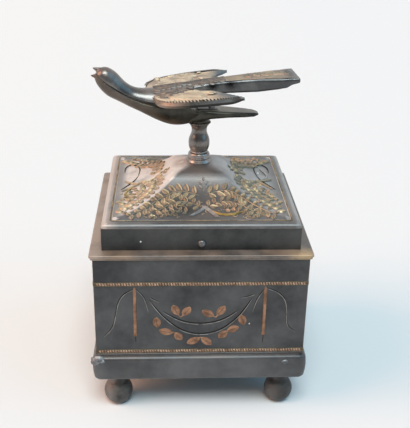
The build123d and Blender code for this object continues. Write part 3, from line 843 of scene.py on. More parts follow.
def make_solder():
    """Runs of solder that filled two mitres, and a thin fillet along the foot of the walls."""
    blobs = []
    for *place, size in solder_drops:
        blob = pressed_ball("blob", place, size, 3, (1.15, 0.7, 0.85), 0.5)
        texture = bpy.data.textures.new("solder lumps", "CLOUDS")
        texture.noise_scale = 1.5 * mm
        shaped_by(blob, "DISPLACE", texture=texture, strength=0.6 * mm)
        blobs.append(blob)
    settled(joined(blobs, "corner_solder"), "box", solder, (), 60)
    seam = framed("wall_seam", [(59.9, 40.4), (60.5, 41.0), (60.42, 41.3), (59.9, 41.6)], 1.0, 3)
    settled(seam, "box", sheet_metal, (), 60)


# Walls: each is cut by the lines of the garland and then set with copper
rod_places = (-37.3, 36.1)
swag_lines = (
    [
        (-21.5, 69.9), (-15.5, 65.3), (-8.0, 62.3), (0.0, 61.4), (8.0, 62.4), (15.5, 65.5),
        (21.0, 70.2),
    ],
    [
        (-29.2, 77.5), (-26.4, 72.6), (-20.5, 65.0), (-12.0, 57.6), (-5.0, 55.0), (0.0, 54.5),
        (6.0, 55.2), (13.0, 58.0), (21.0, 65.4), (26.3, 73.3), (28.6, 78.0),
    ],
)
ribbon_lines = (
    [
        (-37.3, 84.5), (-42.5, 82.3), (-46.3, 77.0), (-47.7, 70.3), (-48.9, 63.8),
        (-50.3, 58.4), (-55.4, 53.2),
    ],
    [(-37.3, 84.5), (-33.2, 81.5), (-30.9, 75.0), (-29.8, 69.2)],
    [(-29.6, 79.3), (-26.5, 77.6), (-23.3, 75.6)],
    [
        (36.1, 84.8), (40.5, 83.3), (44.2, 81.0), (47.6, 77.0), (48.8, 70.3), (48.9, 62.4),
        (50.5, 58.4), (54.8, 55.4),
    ],
    [(36.1, 84.8), (32.8, 80.0), (30.6, 75.0), (29.2, 69.2)],
    [(22.4, 78.4), (26.5, 79.0), (30.2, 80.8)],
)
tail_lines = (
    [(-37.3, 53.6), (-37.2, 51.4), (-37.0, 48.8)],
    [(36.1, 53.6), (36.1, 50.8), (35.8, 47.6)],
)
# Leaves of the garland: place x, z, the way that each points in degrees, and its length
garland_leaves = (
    (-14.3, 70.2, 118, 6.6),
    (-8.3, 69.4, 52, 6.4),
    (4.2, 68.0, 152, 7.0),
    (11.3, 69.6, 55, 6.8),
    (-25.0, 62.2, 100, 6.2),
    (-19.6, 56.0, 168, 7.2),
    (-12.9, 53.0, -48, 5.6),
    (-3.9, 49.9, 205, 7.4),
    (3.2, 49.6, -38, 7.2),
    (13.0, 54.0, 222, 6.0),
    (18.2, 57.4, 22, 6.6),
    (23.8, 63.4, 108, 6.6),
)
garland_stalks = (
    [(-13.2, 68.2), (-12.4, 66.6), (-11.4, 65.9), (-10.6, 66.6), (-9.8, 67.7)],
    [(6.6, 66.8), (7.6, 65.9), (8.5, 65.6), (9.2, 66.4), (9.8, 67.4)],
    [(-17.0, 55.4), (-15.9, 55.9), (-15.1, 55.6), (-14.4, 54.7)],
    [(-1.2, 51.2), (-0.4, 52.1), (0.3, 52.2), (1.0, 51.4)],
)
# Widths of a leaf from its root to its tip, as shares of the widest place
leaf_widths = (0.22, 0.68, 0.92, 1.0, 0.94, 0.7, 0.16)


def garland_cutters():
    """The bars that cut the engraved lines into a wall that looks towards -y."""
    cutters = []
    for lines, radius in ((swag_lines, 0.56), (ribbon_lines, 0.44), (tail_lines, 0.5)):
        for line in lines:
            points = [(x, -wall_face - 0.12, z) for x, z in line]
            cutters.append(round_line("cutter", points, radius))
    bar = joined(cutters, "garland_cutter")
    bar.data.materials.clear()
    bar.data.materials.append(cut_line_shade)
    return bar


def make_walls():
    """One wall with mitred ends and engraved lines, copied to the four sides."""
    hold(None)
    height = wall_high - wall_low
    middle = (0, (-wall_face + wall_sheet / 2) * mm, (wall_low + height / 2) * mm)
    size = (2 * wall_face * mm, wall_sheet * mm, height * mm)
    bpy.ops.mesh.primitive_cube_add(size=1, location=middle, scale=size)
    wall = started("wall")
    for side in (-1, 1):
        bpy.ops.mesh.select_all(action="SELECT")
        corner = (side * wall_face * mm, -wall_face * mm, wall_low * mm)
        outwards = (side, 1, 0)
        bpy.ops.mesh.bisect(plane_co=corner, plane_no=outwards, use_fill=True, clear_outer=True)
    placed(closed(wall))
    wall.data.materials.append(sheet_metal)
    # The second material, near black, is the painted shade that the cut faces of the lines take on.
    wall.data.materials.append(cut_line_shade)
    cutter = garland_cutters()
    ways = {"operation": "DIFFERENCE", "solver": "EXACT", "use_self": True, "material_mode": "TRANSFER"}
    shaped_by(wall, "BOOLEAN", object=cutter, **ways)
    for index, side in enumerate(sides):
        one = copied(wall, f"engraved_wall_{side}", quarter(index))
        settled(one, "box", None, (f"wall_{side}",), 25)
    dropped(wall, cutter)


def rod_outline():
    """Outline of a ringed rod with a knob at each end, as (radius, height)."""
    outline = [(0.4, 53.2), (1.0, 53.5), (1.15, 54.2), (1.1, 55.2), (0.9, 55.8)]
    z = 56.8
    while z < 81.5:
        outline += [(0.98, z), (0.8, z + 0.55), (0.98, z + 1.1)]
        z += 2.1
    return outline + [(0.95, 82.2), (0.9, 83.4), (0.6, 84.6), (0.25, 85.2)]


def make_garland():
    """Copper leaves and rods set on the wall that looks towards -y, with a painted highlight along the
    lower lip of each engraved line, copied to the four sides.
    """
    out = (0, -1, 0)
    blank = leaf_blank("garland_leaf", leaf_widths, 0.6, 0.12)
    pieces = []
    for x, z, degrees, length in garland_leaves:
        turn = math.radians(degrees)
        along = (math.cos(turn), 0, math.sin(turn))
        start = (x - along[0] * length / 2, -wall_face - 0.02, z - along[2] * length / 2)
        size = (length * 1.08, garland_leaf_width, garland_leaf_swell)
        pieces.append(laid(blank, start, along, out, *size))
    for line in garland_stalks:
        points = [(x, -wall_face - 0.05, z) for x, z in line]
        pieces.append(round_line("stalk", points, stalk_radius))
    for x in rod_places:
        rod = evenly_toned(turned("rod", rod_outline(), 12), 1.0)
        rod.data.transform(moved(x, -wall_face, 0) @ Matrix.Diagonal((1, 0.6, 1, 1)))
        pieces.append(rod)
    # Painted highlights: thin bright bars just under the engraved lines.
    lip_highlights = []
    for lines, drop, radius in ((swag_lines, 0.78, 0.2), (ribbon_lines, 0.56, 0.17)):
        for line in lines:
            points = [(x + 0.1, -wall_face - 0.02, z - drop) for x, z in line]
            lip_highlights.append(round_line("lip_highlight", points, radius))
    garland = joined(pieces, "garland")
    lip_highlight = joined(lip_highlights, "lip_highlight")
    for index, side in enumerate(sides):
        one = copied(garland, f"copper_garland_{side}", quarter(index))
        settled(one, "box", copper_inlay, (), 50)
        two = copied(lip_highlight, f"painted_lip_highlights_{side}", quarter(index))
        settled(two, "box", lip_highlight_metal, (), 50)
    dropped(garland, lip_highlight, blank)


def make_ropes():
    """Two roped lines round the case: slanting beads on a flat strip."""
    hold(None)
    count = int(2 * (wall_face - wall_sheet) / rope_pitch)
    start = (-rope_pitch * (count - 1) / 2 * mm, -wall_face * mm, 0)
    size = {"radius": rope_bead * mm, "depth": 2 * rope_half * mm}
    bpy.ops.mesh.primitive_cylinder_add(vertices=8, location=start, **size)
    bead = started("bead")
    pick(bead, "FACE", lambda face: len(face.verts) == 8)
    bpy.ops.mesh.inset(thickness=0.16 * mm)
    bpy.ops.mesh.select_all(action="SELECT")
    bpy.ops.mesh.bevel(offset=0.12 * mm, segments=1)
    bpy.ops.mesh.select_all(action="SELECT")
    bpy.ops.transform.rotate(value=math.radians(24), orient_axis="Y", center_override=start)
    evenly_toned(placed(closed(bead)), 1.0)
    step = {"use_constant_offset": True, "constant_offset_displace": (rope_pitch * mm, 0, 0)}
    shaped_by(bead, "ARRAY", count=count, use_relative_offset=False, **step)
    for index, side in enumerate(sides):
        ropes = [copied(bead, "rope", quarter(index) @ moved(0, 0, z)) for z in rope_heights]
        settled(joined(ropes, f"rope_lines_{side}"), "box", rope_metal, (), 50)
    dropped(bead)
    strips = []
    for z in rope_heights:
        low, high = z - 1.15, z + 1.15
        outline = [(59.9, low), (60.22, low + 0.1), (60.26, z), (60.22, high - 0.1), (59.9, high)]
        strips.append(framed("strip", outline, 0.5, 2))
    settled(joined(strips, "rope_beds"), "box", hinge_metal, (), 30)


# Lid
cove = arc((margin_half, margin_top), cove_middle, (crown_top_half, crown_brow), 16)
cove.append((crown_flat_half, crown_top))


def crown_height(x, y):
    """Height of the lid's surface over a place, and its slope there."""
    half = max(abs(x), abs(y))
    if half >= margin_half:
        return margin_top, 0.0
    if half <= crown_flat_half:
        return crown_top, 0.0
    for (far, low), (near, high) in zip(cove, cove[1:]):
        if near <= half <= far:
            share = (far - half) / (far - near)
            return low + share * (high - low), (high - low) / (far - near)
    return crown_top, 0.0


def make_crown():
    """Coved lid: a square drawn up ring by ring, its hips sharp below and soft above."""
    shoulder = arc((band_half, band_top), (54.37, 120.77), (band_half - 2.5, margin_top), 5)
    rings = [(half, z, 130.0) for half, z in shoulder]
    rings += [(band_half - 4.2, margin_top, 110.0), (margin_half + 0.55, margin_top, 90.0)]
    rings += [(margin_half + 0.3, margin_top - 0.28, 90.0), (margin_half, margin_top, 90.0)]
    for half, z in cove[1:-3]:
        share = (half - crown_top_half) / (margin_half - crown_top_half)
        rings.append((half, z, 15.0 + 45.0 * share))
    rings += [(16.2, 135.5, 12.0), (13.8, 136.6, 7.0), (11.0, 137.5, 4.2), (8.6, 138.1, 2.8)]
    rings.append((5.5, crown_top, 2.0))
    hold(None)
    size = {"radius": band_half * mm, "location": (0, 0, band_top * mm)}
    bpy.ops.mesh.primitive_circle_add(vertices=288, fill_type="NGON", **size)
    crown = started("coved_crown")
    for number, (half, z, squareness) in enumerate(rings):
        if number:
            rise = {"value": (0, 0, (z - rings[number - 1][1]) * mm)}
            bpy.ops.mesh.extrude_region_move(TRANSFORM_OT_translate=rise)
        mesh = bmesh.from_edit_mesh(crown.data)
        for vertex in mesh.verts:
            if vertex.select:
                turn = math.atan2(vertex.co.y, vertex.co.x)
                across, along = math.cos(turn), math.sin(turn)
                spread = (abs(across) ** squareness + abs(along) ** squareness) ** (-1 / squareness)
                vertex.co.x = half * mm * spread * across
                vertex.co.y = half * mm * spread * along
        bmesh.update_edit_mesh(crown.data)
    pick(crown, "FACE", lambda face: len(face.verts) > 4 and face.normal.z < -0.5)
    bpy.ops.mesh.delete(type="FACE")
    placed(closed(crown))
    shaped_by(crown, "SOLIDIFY", thickness=1.0 * mm, offset=-1.0, use_even_offset=True)
    settled(crown, "lid", crown_metal, ("lid_crown",), 40)


def on_crown(x, y, lift):
    """A place on the front slope and the outward direction there."""
    height, slope = crown_height(x, y)
    return Vector((x, y, height + lift)), Vector((0, -slope, 1)).normalized()


# Leafy branches of the lid's front face: places x, y along each stem
branch_left = [
    (-0.5, -27.5), (-6.8, -25.4), (-12.5, -24.8), (-18.3, -26.8), (-24.0, -30.5),
    (-29.1, -35.2), (-34.5, -40.0), (-41.0, -44.5),
]
branch_right = [
    (2.5, -27.3), (9.6, -24.8), (16.3, -24.2), (20.6, -26.2), (25.2, -30.0), (30.6, -34.4),
    (36.8, -39.6), (43.0, -44.0),
]
lower_left = [
    (1.0, -36.4), (-5.0, -32.6), (-11.0, -31.2), (-17.0, -33.8), (-23.0, -38.4), (-30.0, -43.6),
]
lower_right = [
    (3.5, -36.2), (9.0, -32.6), (15.5, -31.2), (22.0, -33.8), (28.5, -38.8), (34.0, -44.2),
]
ground_left = [(-6.0, -41.0), (-13.0, -38.6), (-20.0, -41.4), (-27.0, -46.6)]
ground_right = [(12.0, -38.2), (19.0, -36.6), (26.0, -40.2), (31.0, -45.6)]
ribbon_left = [(3.4, -35.4), (0.6, -38.6), (-2.6, -41.6), (-5.8, -44.6)]
ribbon_right = [(1.4, -34.8), (4.2, -38.6), (6.8, -42.2), (9.0, -45.9)]
horn = [(4.2, -37.6), (7.4, -41.0), (11.6, -43.2), (17.0, -43.2), (21.5, -41.5), (24.6, -39.7)]
flourishes = (
    [(-12.0, -40.2), (-16.5, -38.6), (-21.1, -41.6), (-17.2, -44.4), (-12.6, -42.6)],
    [(-8.4, -36.0), (-11.6, -34.4), (-15.2, -36.2), (-12.2, -38.0)],
    [(12.0, -36.4), (16.0, -34.8), (20.2, -37.0), (17.0, -39.4), (12.6, -38.4)],
    [(27.0, -36.5), (31.5, -38.0), (29.0, -41.0), (25.5, -39.5)],
)
# Incised loop of the two side faces, drawn as it lies on the front slope
loop_lines = (
    [
        (11.3, -36.9), (19.6, -35.7), (27.0, -36.7), (32.6, -40.0), (32.4, -44.2),
        (26.0, -45.9), (20.3, -45.4),
    ],
    [(11.3, -36.9), (4.4, -38.6), (-1.2, -42.8), (-6.5, -46.4)],
)
# Leaves of the upright palmette: place x, y of the root and the way that each points, in degrees
palmette_leaves = (
    (2.1, -19.4, 90),
    (1.1, -21.2, 125),
    (3.1, -21.2, 55),
    (1.0, -23.6, 130),
    (3.2, -23.6, 50),
    (2.1, -24.8, 90),
)


def stem(points, radius, lift):
    """A round bar on the front slope, its middle lifted a little over it."""
    line = [tuple(on_crown(x, y, lift)[0]) for x, y in points]
    return round_line("stem", line, radius)


def ribbon(points, half):
    """A flat folded ribbon: a broad line pressed down on the slope."""
    strands = [[(x + side * half, y) for x, y in points] for side in (-1, -0.35, 0.35, 1)]
    return [stem(strand, 0.42, 0.22) for strand in strands]


def part_way(points, where):
    """The place at a number of steps along a line, and the step taken there."""
    part = int(where)
    share = where - part
    (x0, y0), (x1, y1) = points[part:part + 2]
    return x0 + share * (x1 - x0), y0 + share * (y1 - y0), (x1 - x0, y1 - y0)


def off_face(tip):
    """Whether a leaf's tip would pass the margin or a hip of the front slope."""
    return max(abs(tip.x), abs(tip.y)) > margin_half - 0.6 or abs(tip.x) > abs(tip.y) - 0.4


def leafy(blank, points, length, width, every, rng):
    """Pairs of leaves along a stem, leaning towards its tip."""
    leaves = []
    total = len(points) - 1
    count = int(total * every)
    for i in range(count):
        x, y, step = part_way(points, (i + 0.5) / count * total)
        run = Vector((*step, 0)).normalized()
        for side in (-1, 1):
            lean = side * math.radians(rng.uniform(46, 70))
            turn = Matrix.Rotation(lean, 3, "Z") @ run
            size = length * rng.uniform(0.82, 1.12)
            root = Vector((x, y, 0)) + turn * 0.4
            tip = root + turn * size
            while size > 1.6 and off_face(tip):
                size *= 0.85
                tip = root + turn * size
            if size <= 1.6:
                continue
            place, out = on_crown(root.x, root.y, 0.12)
            end = on_crown(tip.x, tip.y, 0.12)[0]
            broad = width * min(1.0, 0.35 + size / length)
            leaves.append(laid(blank, place, end - place, out, size, broad, rng.uniform(0.8, 1.15)))
    return leaves


def lid_branches(blank):
    """Stems, leaves and curls of the front slope, and copies of those that the side slopes share."""
    rng = random.Random(11)
    shared, front_only = [], []
    for points, group in (
        (branch_left, shared),
        (branch_right, shared),
        (lower_left, shared),
        (lower_right, front_only),
    ):
        group.append(stem(points, stem_radius, 0.1))
    for points, length, width, every, group in (
        (branch_left, 5.6, 3.7, 1.7, shared),
        (branch_right, 5.6, 3.7, 1.7, shared),
        (lower_left, 4.3, 3.1, 1.9, shared),
        (lower_right, 4.3, 3.1, 1.9, front_only),
        (ground_left, 3.4, 2.3, 2.0, shared),
        (ground_right, 3.4, 2.3, 2.0, front_only),
    ):
        group += leafy(blank, points, length, width, every, rng)
    shared += [stem(points, stem_radius, 0.15) for points in flourishes[:2]]
    front_only += [stem(points, stem_radius, 0.15) for points in flourishes[2:]]
    for _ in range(curl_count):
        x = rng.uniform(-36.0, 38.0)
        y = -rng.uniform(max(33.0, abs(x) + 3.5), 47.0)
        size = rng.uniform(0.7, 1.5)
        start = rng.uniform(0, 6.28)
        curl = []
        for k in range(6):
            turn = start + 0.9 * k
            curl.append((x + size * math.cos(turn), y + (0.8 + 0.1 * k) * size * math.sin(turn)))
        (front_only if x > 0 else shared).append(stem(curl, 0.2, 0.08))
    side_gilt = joined([copied(piece, "side_relief") for piece in shared], "side_gilt")
    return joined(shared + front_only, "gilt"), side_gilt


def make_lid_relief():
    """Branches, ribbons, a horn and a small palmette in relief on each face of the lid."""
    blank = leaf_blank("lid_leaf", leaf_widths, 0.66, 0.3)
    gilt, side_gilt = lid_branches(blank)
    greys = ribbon(ribbon_left, 0.9) + ribbon(ribbon_right, 1.0)
    for x, y, degrees in palmette_leaves:
        turn = math.radians(degrees)
        place, out = on_crown(x, y, 0.12)
        end = on_crown(x + 2.6 * math.cos(turn), y + 2.6 * math.sin(turn), 0.12)[0]
        greys.append(laid(blank, place, end - place, out, 3.0, 1.6, 0.8))
    grey = joined(greys, "grey")
    under_horn = [(x, y - 0.9) for x, y in horn[1:-1]]
    bright = joined([stem(horn, 0.5, 0.3), stem(under_horn, 0.34, 0.2)], "bright")
    loops = joined([stem(points, 0.42, 0.14) for points in loop_lines], "loops")
    # Painted shade: the horn on the right face is grey pewter in place of gold, for how it looks in the
    # cool light there.
    horn_finish_and_shade = {"front": gold_line, "right": pewter, "back": gold_line, "left": gold_line}
    for index, side in enumerate(sides):
        end_face = side in ("right", "left")
        over = quarter(index)
        ribbon_finish = crown_relief if end_face else pewter
        patterns = [
            (grey, "ribbons", ribbon_finish, over),
            (bright, "horn", horn_finish_and_shade[side], over),
        ]
        if end_face:
            mirrored = over @ Matrix.Scale(-1, 4, (1, 0, 0)) if side == "left" else over
            patterns.append((side_gilt, "branches", crown_relief, mirrored))
            # The loops are near-black bars of painted shade.
            patterns.append((loops, "loop", cut_line_shade, mirrored))
        else:
            patterns.append((gilt, "branches", crown_relief, over))
        for pattern, word, material, place in patterns:
            one = copied(pattern, f"lid_{word}_{side}", place)
            if place.determinant() < 0:
                one.data.flip_normals()
            settled(one, "lid", material, (), 55)
    dropped(gilt, side_gilt, grey, bright, loops, blank)


def make_lid_border():
    """A line of small slanting beads round the sunk part of the lid."""
    rng = random.Random(3)
    border = []
    hold(None)
    bpy.ops.mesh.primitive_cube_add(size=border_bead * mm)
    bead = started("border_bead")
    bpy.ops.mesh.bevel(offset=0.2 * mm, segments=1)
    closed(bead)
    for i in range(border_count):
        x = (i - (border_count - 1) / 2) * 2 * border_half / border_count
        turn = Matrix.Rotation(math.radians(rng.uniform(20, 40)), 4, "Z")
        border.append(copied(bead, "bead", moved(x, -border_place, border_height) @ turn))
    line = joined(border, "line")
    lines = [copied(line, "line_side", quarter(index)) for index in range(4)]
    settled(joined(lines, "lid_border"), "lid", border_gilt, (), 30)
    dropped(line, bead)


def make_nicks():
    """Small chips where bright metal shows: on the band, a wall and the post; and a white patch on the
    side of the lid that is a painted glint.
    """
    chips = (
        ("box", "wall_nick", (27.8, -60.0, 61.0), (0.42, 0.12, 0.42)),
        ("lid", "band_nick", (-33.5, -55.1, 111.2), (0.5, 0.12, 0.5)),
        ("lid", "post_nick", (-3.0, -5.05, 147.6), (1.0, 0.5, 0.2)),
        # Painted highlight: this white patch on the right side of the lid stands for a glint.
        ("lid", "lid_painted_glint", (37.8, 14.0, 124.2), (0.5, 1.8, 0.3)),
    )
    for body, name, place, size in chips:
        chip = pressed_ball(name, place, 1, 2, size)
        settled(chip, body, white_metal, (), 80)


def make_button():
    """Domed push button."""
    side = [(1.98, -1.6), (2.04, 0.1), (2.04, 0.8)]
    dome = [(1.9, 1.25), (1.5, 1.55), (1.0, 1.68), (0.4, 1.72)]
    button = turned("domed_button", side + dome, 32)
    forwards = Matrix.Rotation(math.pi / 2, 4, "X")
    button.data.transform(moved(0, -band_half, button_height) @ forwards)
    disc = copied(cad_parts["push_button"], "button_disc")
    hold(disc)
    bpy.ops.object.mode_set(mode="EDIT")
    closed(disc, 0.02)
    settled(joined([button, disc], "button_knob"), "button", steel, ("push_button",), 40)


def make_post():
    """Baluster post with fine rings, and the collar that it stands on."""
    base = post_low
    outline = [(5.0, base), (5.25, base + 0.5), (5.25, base + 0.9), (4.95, base + 1.2)]
    belly = arc((5.05, base + 1.3), (6.25, base + 5.9), (5.35, base + 10.6), 9)
    neck = arc((5.35, base + 10.6), (4.5, base + 14.4), (5.1, base + 16.6), 7)[1:]
    outline += [*belly, *neck, (5.9, base + 17.6), (6.35, base + 18.2), (6.35, base + 18.9)]
    post = turned("baluster_post", outline, 56)
    settled(post, "lid", casting, ("post",), 45)
    low = crown_top
    outline = [(7.45, low), (7.3, low + 0.5), (6.6, low + 1.3), (6.5, low + 1.9), (6.75, low + 2.4)]
    outline += [(6.75, low + 2.9), (6.45, low + 3.3), (6.45, low + 4.1), (6.25, low + 4.8)]
    collar = turned("ringed_collar", [*outline, (5.9, low + 5.2)], 56)
    settled(collar, "lid", casting, ("post_collar",), 45)
    beads = []
    count, ring_radius = 30, 6.3
    for i in range(count):
        turn = i * 2 * math.pi / count
        place = (ring_radius * math.cos(turn), ring_radius * math.sin(turn), post_high - 0.35)
        beads.append(pressed_ball("bead", place, 0.6, 1, (1.0, 1.0, 0.8)))
    settled(joined(beads, "bead_ring"), "lid", casting, (), 80)


# Bird
bird_place = Matrix.Rotation(bird_turn, 4, "Z")
bird_way = bird_place.to_3x3()


def make_bird_halves():
    """The two castings of the bird; gives the upper one, which carries the feathers."""
    lower = softened_copy("bird_lower", "throat_and_lever", casting_grain, 5)
    settled(lower, "lid", lower_metal, ("bird_lower",), 60)
    upper = softened_copy("bird_upper", "head_and_tail", casting_grain, 5)
    settled(upper, "jaw", bird_metal, ("bird_upper",), 60)
    return upper


def surface_under(pieces, place):
    """The highest point of the pieces straight under a place, and the outward direction there."""
    found = [piece.ray_cast(Vector(place) * mm, Vector((0, 0, -1))) for piece in pieces]
    found = [(point / mm, out) for hit, point, out, _ in found if hit]
    return max(found, key=lambda pair: pair[0].z) if found else (None, None)


def wing_point(side, x, y, lift):
    """A place on a wing in the box's frame, from a place on its level outline."""
    rise = near_wing_rise if side < 0 else far_wing_rise
    if side > 0:
        x = far_wing_stretch * x - far_wing_shift
    level = Vector(((x - wing_root[0]), side * y, lift))
    tilted = Matrix.Rotation(-rise, 3, "Y") @ level
    return bird_way @ (tilted + Vector((wing_root[0], 0, wing_root[1])))


def feather_row(blank, side, roots, tips, count, width, lift):
    """Overlapping feathers between two root places and two tip places."""
    feathers = []
    for i in range(count):
        share = i / (count - 1)
        root = [first + share * (last - first) for first, last in zip(*roots)]
        tip = [first + share * (last - first) for first, last in zip(*tips)]
        start = wing_point(side, *root, lift + 0.3 * (i % 2))
        run = wing_point(side, *tip, lift) - start
        out = bird_way @ Vector((-0.1, 0, 1))
        feathers.append(laid(blank, start, run, out, run.length, width, 1.0))
    return feathers


# Widths of a feather, and places x, y along the leading edge of a wing
feather_widths = (0.35, 0.62, 0.8, 0.92, 1.0, 1.0, 0.94, 0.72, 0.12)
leading_edge = [
    (-27.0, 13.4), (-25.2, 20.6), (-19.9, 27.2), (-11.6, 30.7), (-1.8, 33.0), (8.6, 34.4),
    (15.9, 34.7), (20.6, 33.6),
]
# Rows of feathers: two root places, two tip places, how many, width and lift over the wing
feather_rows = (
    (((-6, 9.0), (-2, 28.5)), ((8.5, 16.5), (20.0, 32.0)), 8, 4.4, wing_top),
    (((-16, 9.0), (-12, 25.0)), ((-1.5, 12.0), (2.5, 29.0)), 8, 4.0, covert_top - 0.1),
    (((-23, 8.5), (-18, 20.0)), ((-11.5, 9.5), (-8.0, 26.0)), 7, 3.6, covert_top + 0.1),
)


def make_wing_edge(blank, side, name):
    """The thick leading edge of a wing, with ribs laid across it."""
    line = [tuple(wing_point(side, x, y, 1.25 - 0.02 * max(0.0, x))) for x, y in leading_edge]
    edge = [round_line("edge", line, 1.75)]
    ribs = 34
    for i in range(ribs):
        x, y, _ = part_way(leading_edge, 0.4 + (len(leading_edge) - 1.6) * i / ribs)
        sunk = 0.05 * max(0.0, x)
        start = wing_point(side, x - 1.2, y - 2.6, covert_top + 0.2 - sunk)
        run = wing_point(side, x + 0.4, y + 1.3, covert_top - 1.0 - sunk) - start
        out = bird_way @ Vector((0, 0.5 * side, 1))
        edge.append(laid(blank, start, run, out, run.length, 1.1, 0.75))
    settled(joined(edge, f"wing_edge_{name}"), "jaw", edge_metal, (), 50)


def make_wings():
    """Each wing: its cast plate, rows of feathers, small coverts and its edge."""
    wings = []
    blank = leaf_blank("feather", feather_widths, 0.55, 0.8)
    for side, name, node in ((-1, "near", "wing_left"), (1, "far", "wing_right")):
        rng = random.Random(31 + side)
        plate = softened_copy(node, f"{name}_wing_plate", wing_grain, 4)
        evenly_toned(plate, 0.75)
        pieces = []
        for row in feather_rows:
            pieces += feather_row(blank, side, *row)
        for _ in range(small_covert_count):
            share = rng.random()
            x, y = -22.0 + 26.0 * share, 9.0 + 17.0 * rng.random() + 4.0 * share
            start = wing_point(side, x, y, covert_top + 0.35)
            run = bird_way @ Vector((1, 0.25 * side * rng.random(), 0.1))
            pieces.append(laid(blank, start, run, (0, 0, 1), rng.uniform(2.4, 4.0), 1.7, 0.7))
        feathers = joined(pieces, f"{name}_wing_feathers")
        wing = joined([plate, feathers], f"feathered_wing_{name}")
        settled(wing, "jaw", gilded, (node,), 50)
        wings.append(wing)
        make_wing_edge(blank, side, name)
    dropped(blank)
    return wings


def make_back_and_tail(castings):
    """Small feathers down the back, long ones on the tail, and a sprig of leaves near its end."""
    rng = random.Random(5)
    feather = leaf_blank("tail_feather", feather_widths, 0.45, 0.75)
    leaf = leaf_blank("tail_leaf", leaf_widths, 0.7, 0.1)

    def on_bird(blank, x, y, lean, length, width, lift, swell):
        """A feather or leaf laid down on the castings, where they lie flat enough for it."""
        start, out = surface_under(castings, bird_way @ Vector((x, y, 200)))
        tip = (x + math.cos(lean) * length, y + math.sin(lean) * length, 200)
        end, _ = surface_under(castings, bird_way @ Vector(tip))
        if start is None or end is None or out.z < 0.2 or abs(end.z - start.z) > 0.6 * length:
            return None
        return laid(blank, start + lift * out, end - start, out, length, width, swell)

    back = []
    for row in range(back_rows):
        x = back_start + row * back_step
        near = min(-6.0, -20.0 + 0.52 * (x - back_start)) if row < 9 else -5.0
        far = 7.0 if row < 9 else 5.0
        count = round((far - near) / back_spacing)
        for k in range(count):
            y = near + (k + 0.5) * (far - near) / count + (0.7 if row % 2 else -0.5)
            lean = math.radians(rng.uniform(-16, 16) + 1.6 * y)
            back.append(on_bird(feather, x, y, lean, 4.6, 2.7, 0.1, 0.8))
    back = [piece for piece in back if piece]
    settled(joined(back, "back_feathers"), "jaw", back_metal, (), 50)
    tail = []
    for k in range(5):
        for x, length in ((11.0, 16.0), (24.0, 16.0), (37.0, 16.5)):
            spread = 0.9 + (x - 11.0) * 0.035
            y = (k - 2) * 1.75 * spread
            lean = math.radians(2.6 * (k - 2))
            tail.append(on_bird(feather, x, y, lean, length, 2.6 * spread, 0.05, 0.55))
    for x in (26.0, 30.5, 35.0, 39.5, 44.0, 48.5):
        for side in (-1, 1):
            lean = side * math.radians(rng.uniform(30, 48))
            tail.append(on_bird(leaf, x, side * 0.6, lean, rng.uniform(4.2, 5.6), 2.7, 0.3, 0.7))
    tail = [piece for piece in tail if piece]
    settled(joined(tail, "tail_relief"), "jaw", tail_gilt, (), 50)
    dropped(feather, leaf)


# Linings
def make_linings():
    """Velvet on the floor board and on the inside of the walls."""
    hold(None)
    cells = {"x_subdivisions": 44, "y_subdivisions": 44, "size": 2 * velvet_half * mm}
    bpy.ops.mesh.primitive_grid_add(location=(0, 0, velvet_floor * mm), **cells)
    floor = started("floor_velvet")
    mesh = bmesh.from_edit_mesh(floor.data)
    for vertex in mesh.verts:
        edge = max(abs(vertex.co.x), abs(vertex.co.y)) / (velvet_half * mm)
        vertex.co.z = -0.7 * mm * max(0.0, (edge - 0.93) / 0.07) ** 2
    bmesh.update_edit_mesh(floor.data)
    bpy.ops.object.mode_set(mode="OBJECT")
    texture = bpy.data.textures.new("velvet nap", "CLOUDS")
    texture.noise_scale = 12 * mm
    shaped_by(floor, "DISPLACE", texture=texture, strength=0.4 * mm, mid_level=0.5)
    shaped_by(floor, "SOLIDIFY", thickness=0.5 * mm, offset=-1.0)
    settled(floor, "box", cloth, ("floor_lining",), 60)
    roll = [(58.6, 102.7), (58.3, 102.85), (58.0, 102.75), (velvet_inner - 0.05, 102.3)]
    inside = [(velvet_inner, 101.6), (velvet_inner, velvet_low)]
    outline = [(velvet_outer, velvet_low), (velvet_outer, velvet_high), *roll, *inside]
    walls = framed("wall_velvet", outline, 1.5, 4)
    settled(walls, "box", cloth, ("wall_lining",), 40)


# Stage
def make_stage():
    """Pale floor, painted warm on the left and a little cooler and darker on the right, for the tint of
    the light falling there.
    """
    hold(None)
    bpy.ops.mesh.primitive_plane_add(size=24.0, location=(0, 0, -0.02 * mm))
    floor = bpy.context.object
    floor.name = "floor"
    material, tree, shader = started_material("pale paper")
    across = put(tree, "ShaderNodeSeparateXYZ", {0: object_place(tree)}).outputs["X"]
    warm, cool = (0.91, 0.915, 0.915, 1), (0.88, 0.9, 0.92, 1)
    # Painted light: the floor's colour runs from warm on the left to cooler on the right, for the lamps'
    # tint.
    colour = blended(tree, ramp(tree, across, -0.3, 0.3), warm, cool)
    tree.links.new(colour, shader.inputs["Base Color"])
    shader.inputs["Roughness"].default_value = 0.75
    shader.inputs["Specular IOR Level"].default_value = 0.2
    floor.data.materials.append(material)


def make_lamp(name, turn, height, strength, colour, spread):
    """A broad soft lamp far away: its direction is a turn from the front and a height over the floor."""
    lamp = bpy.data.lights.new(name, "SUN")
    lamp.energy = strength
    lamp.color = colour
    lamp.angle = math.radians(spread)
    light = bpy.data.objects.new(name, lamp)
    turn, height = math.radians(turn), math.radians(height)
    level = math.cos(height)
    place = Vector((math.sin(turn) * level, -math.cos(turn) * level, math.sin(height)))
    light.rotation_euler = place.to_track_quat("Z", "Y").to_euler()
    light.location = place
    bpy.context.collection.objects.link(light)


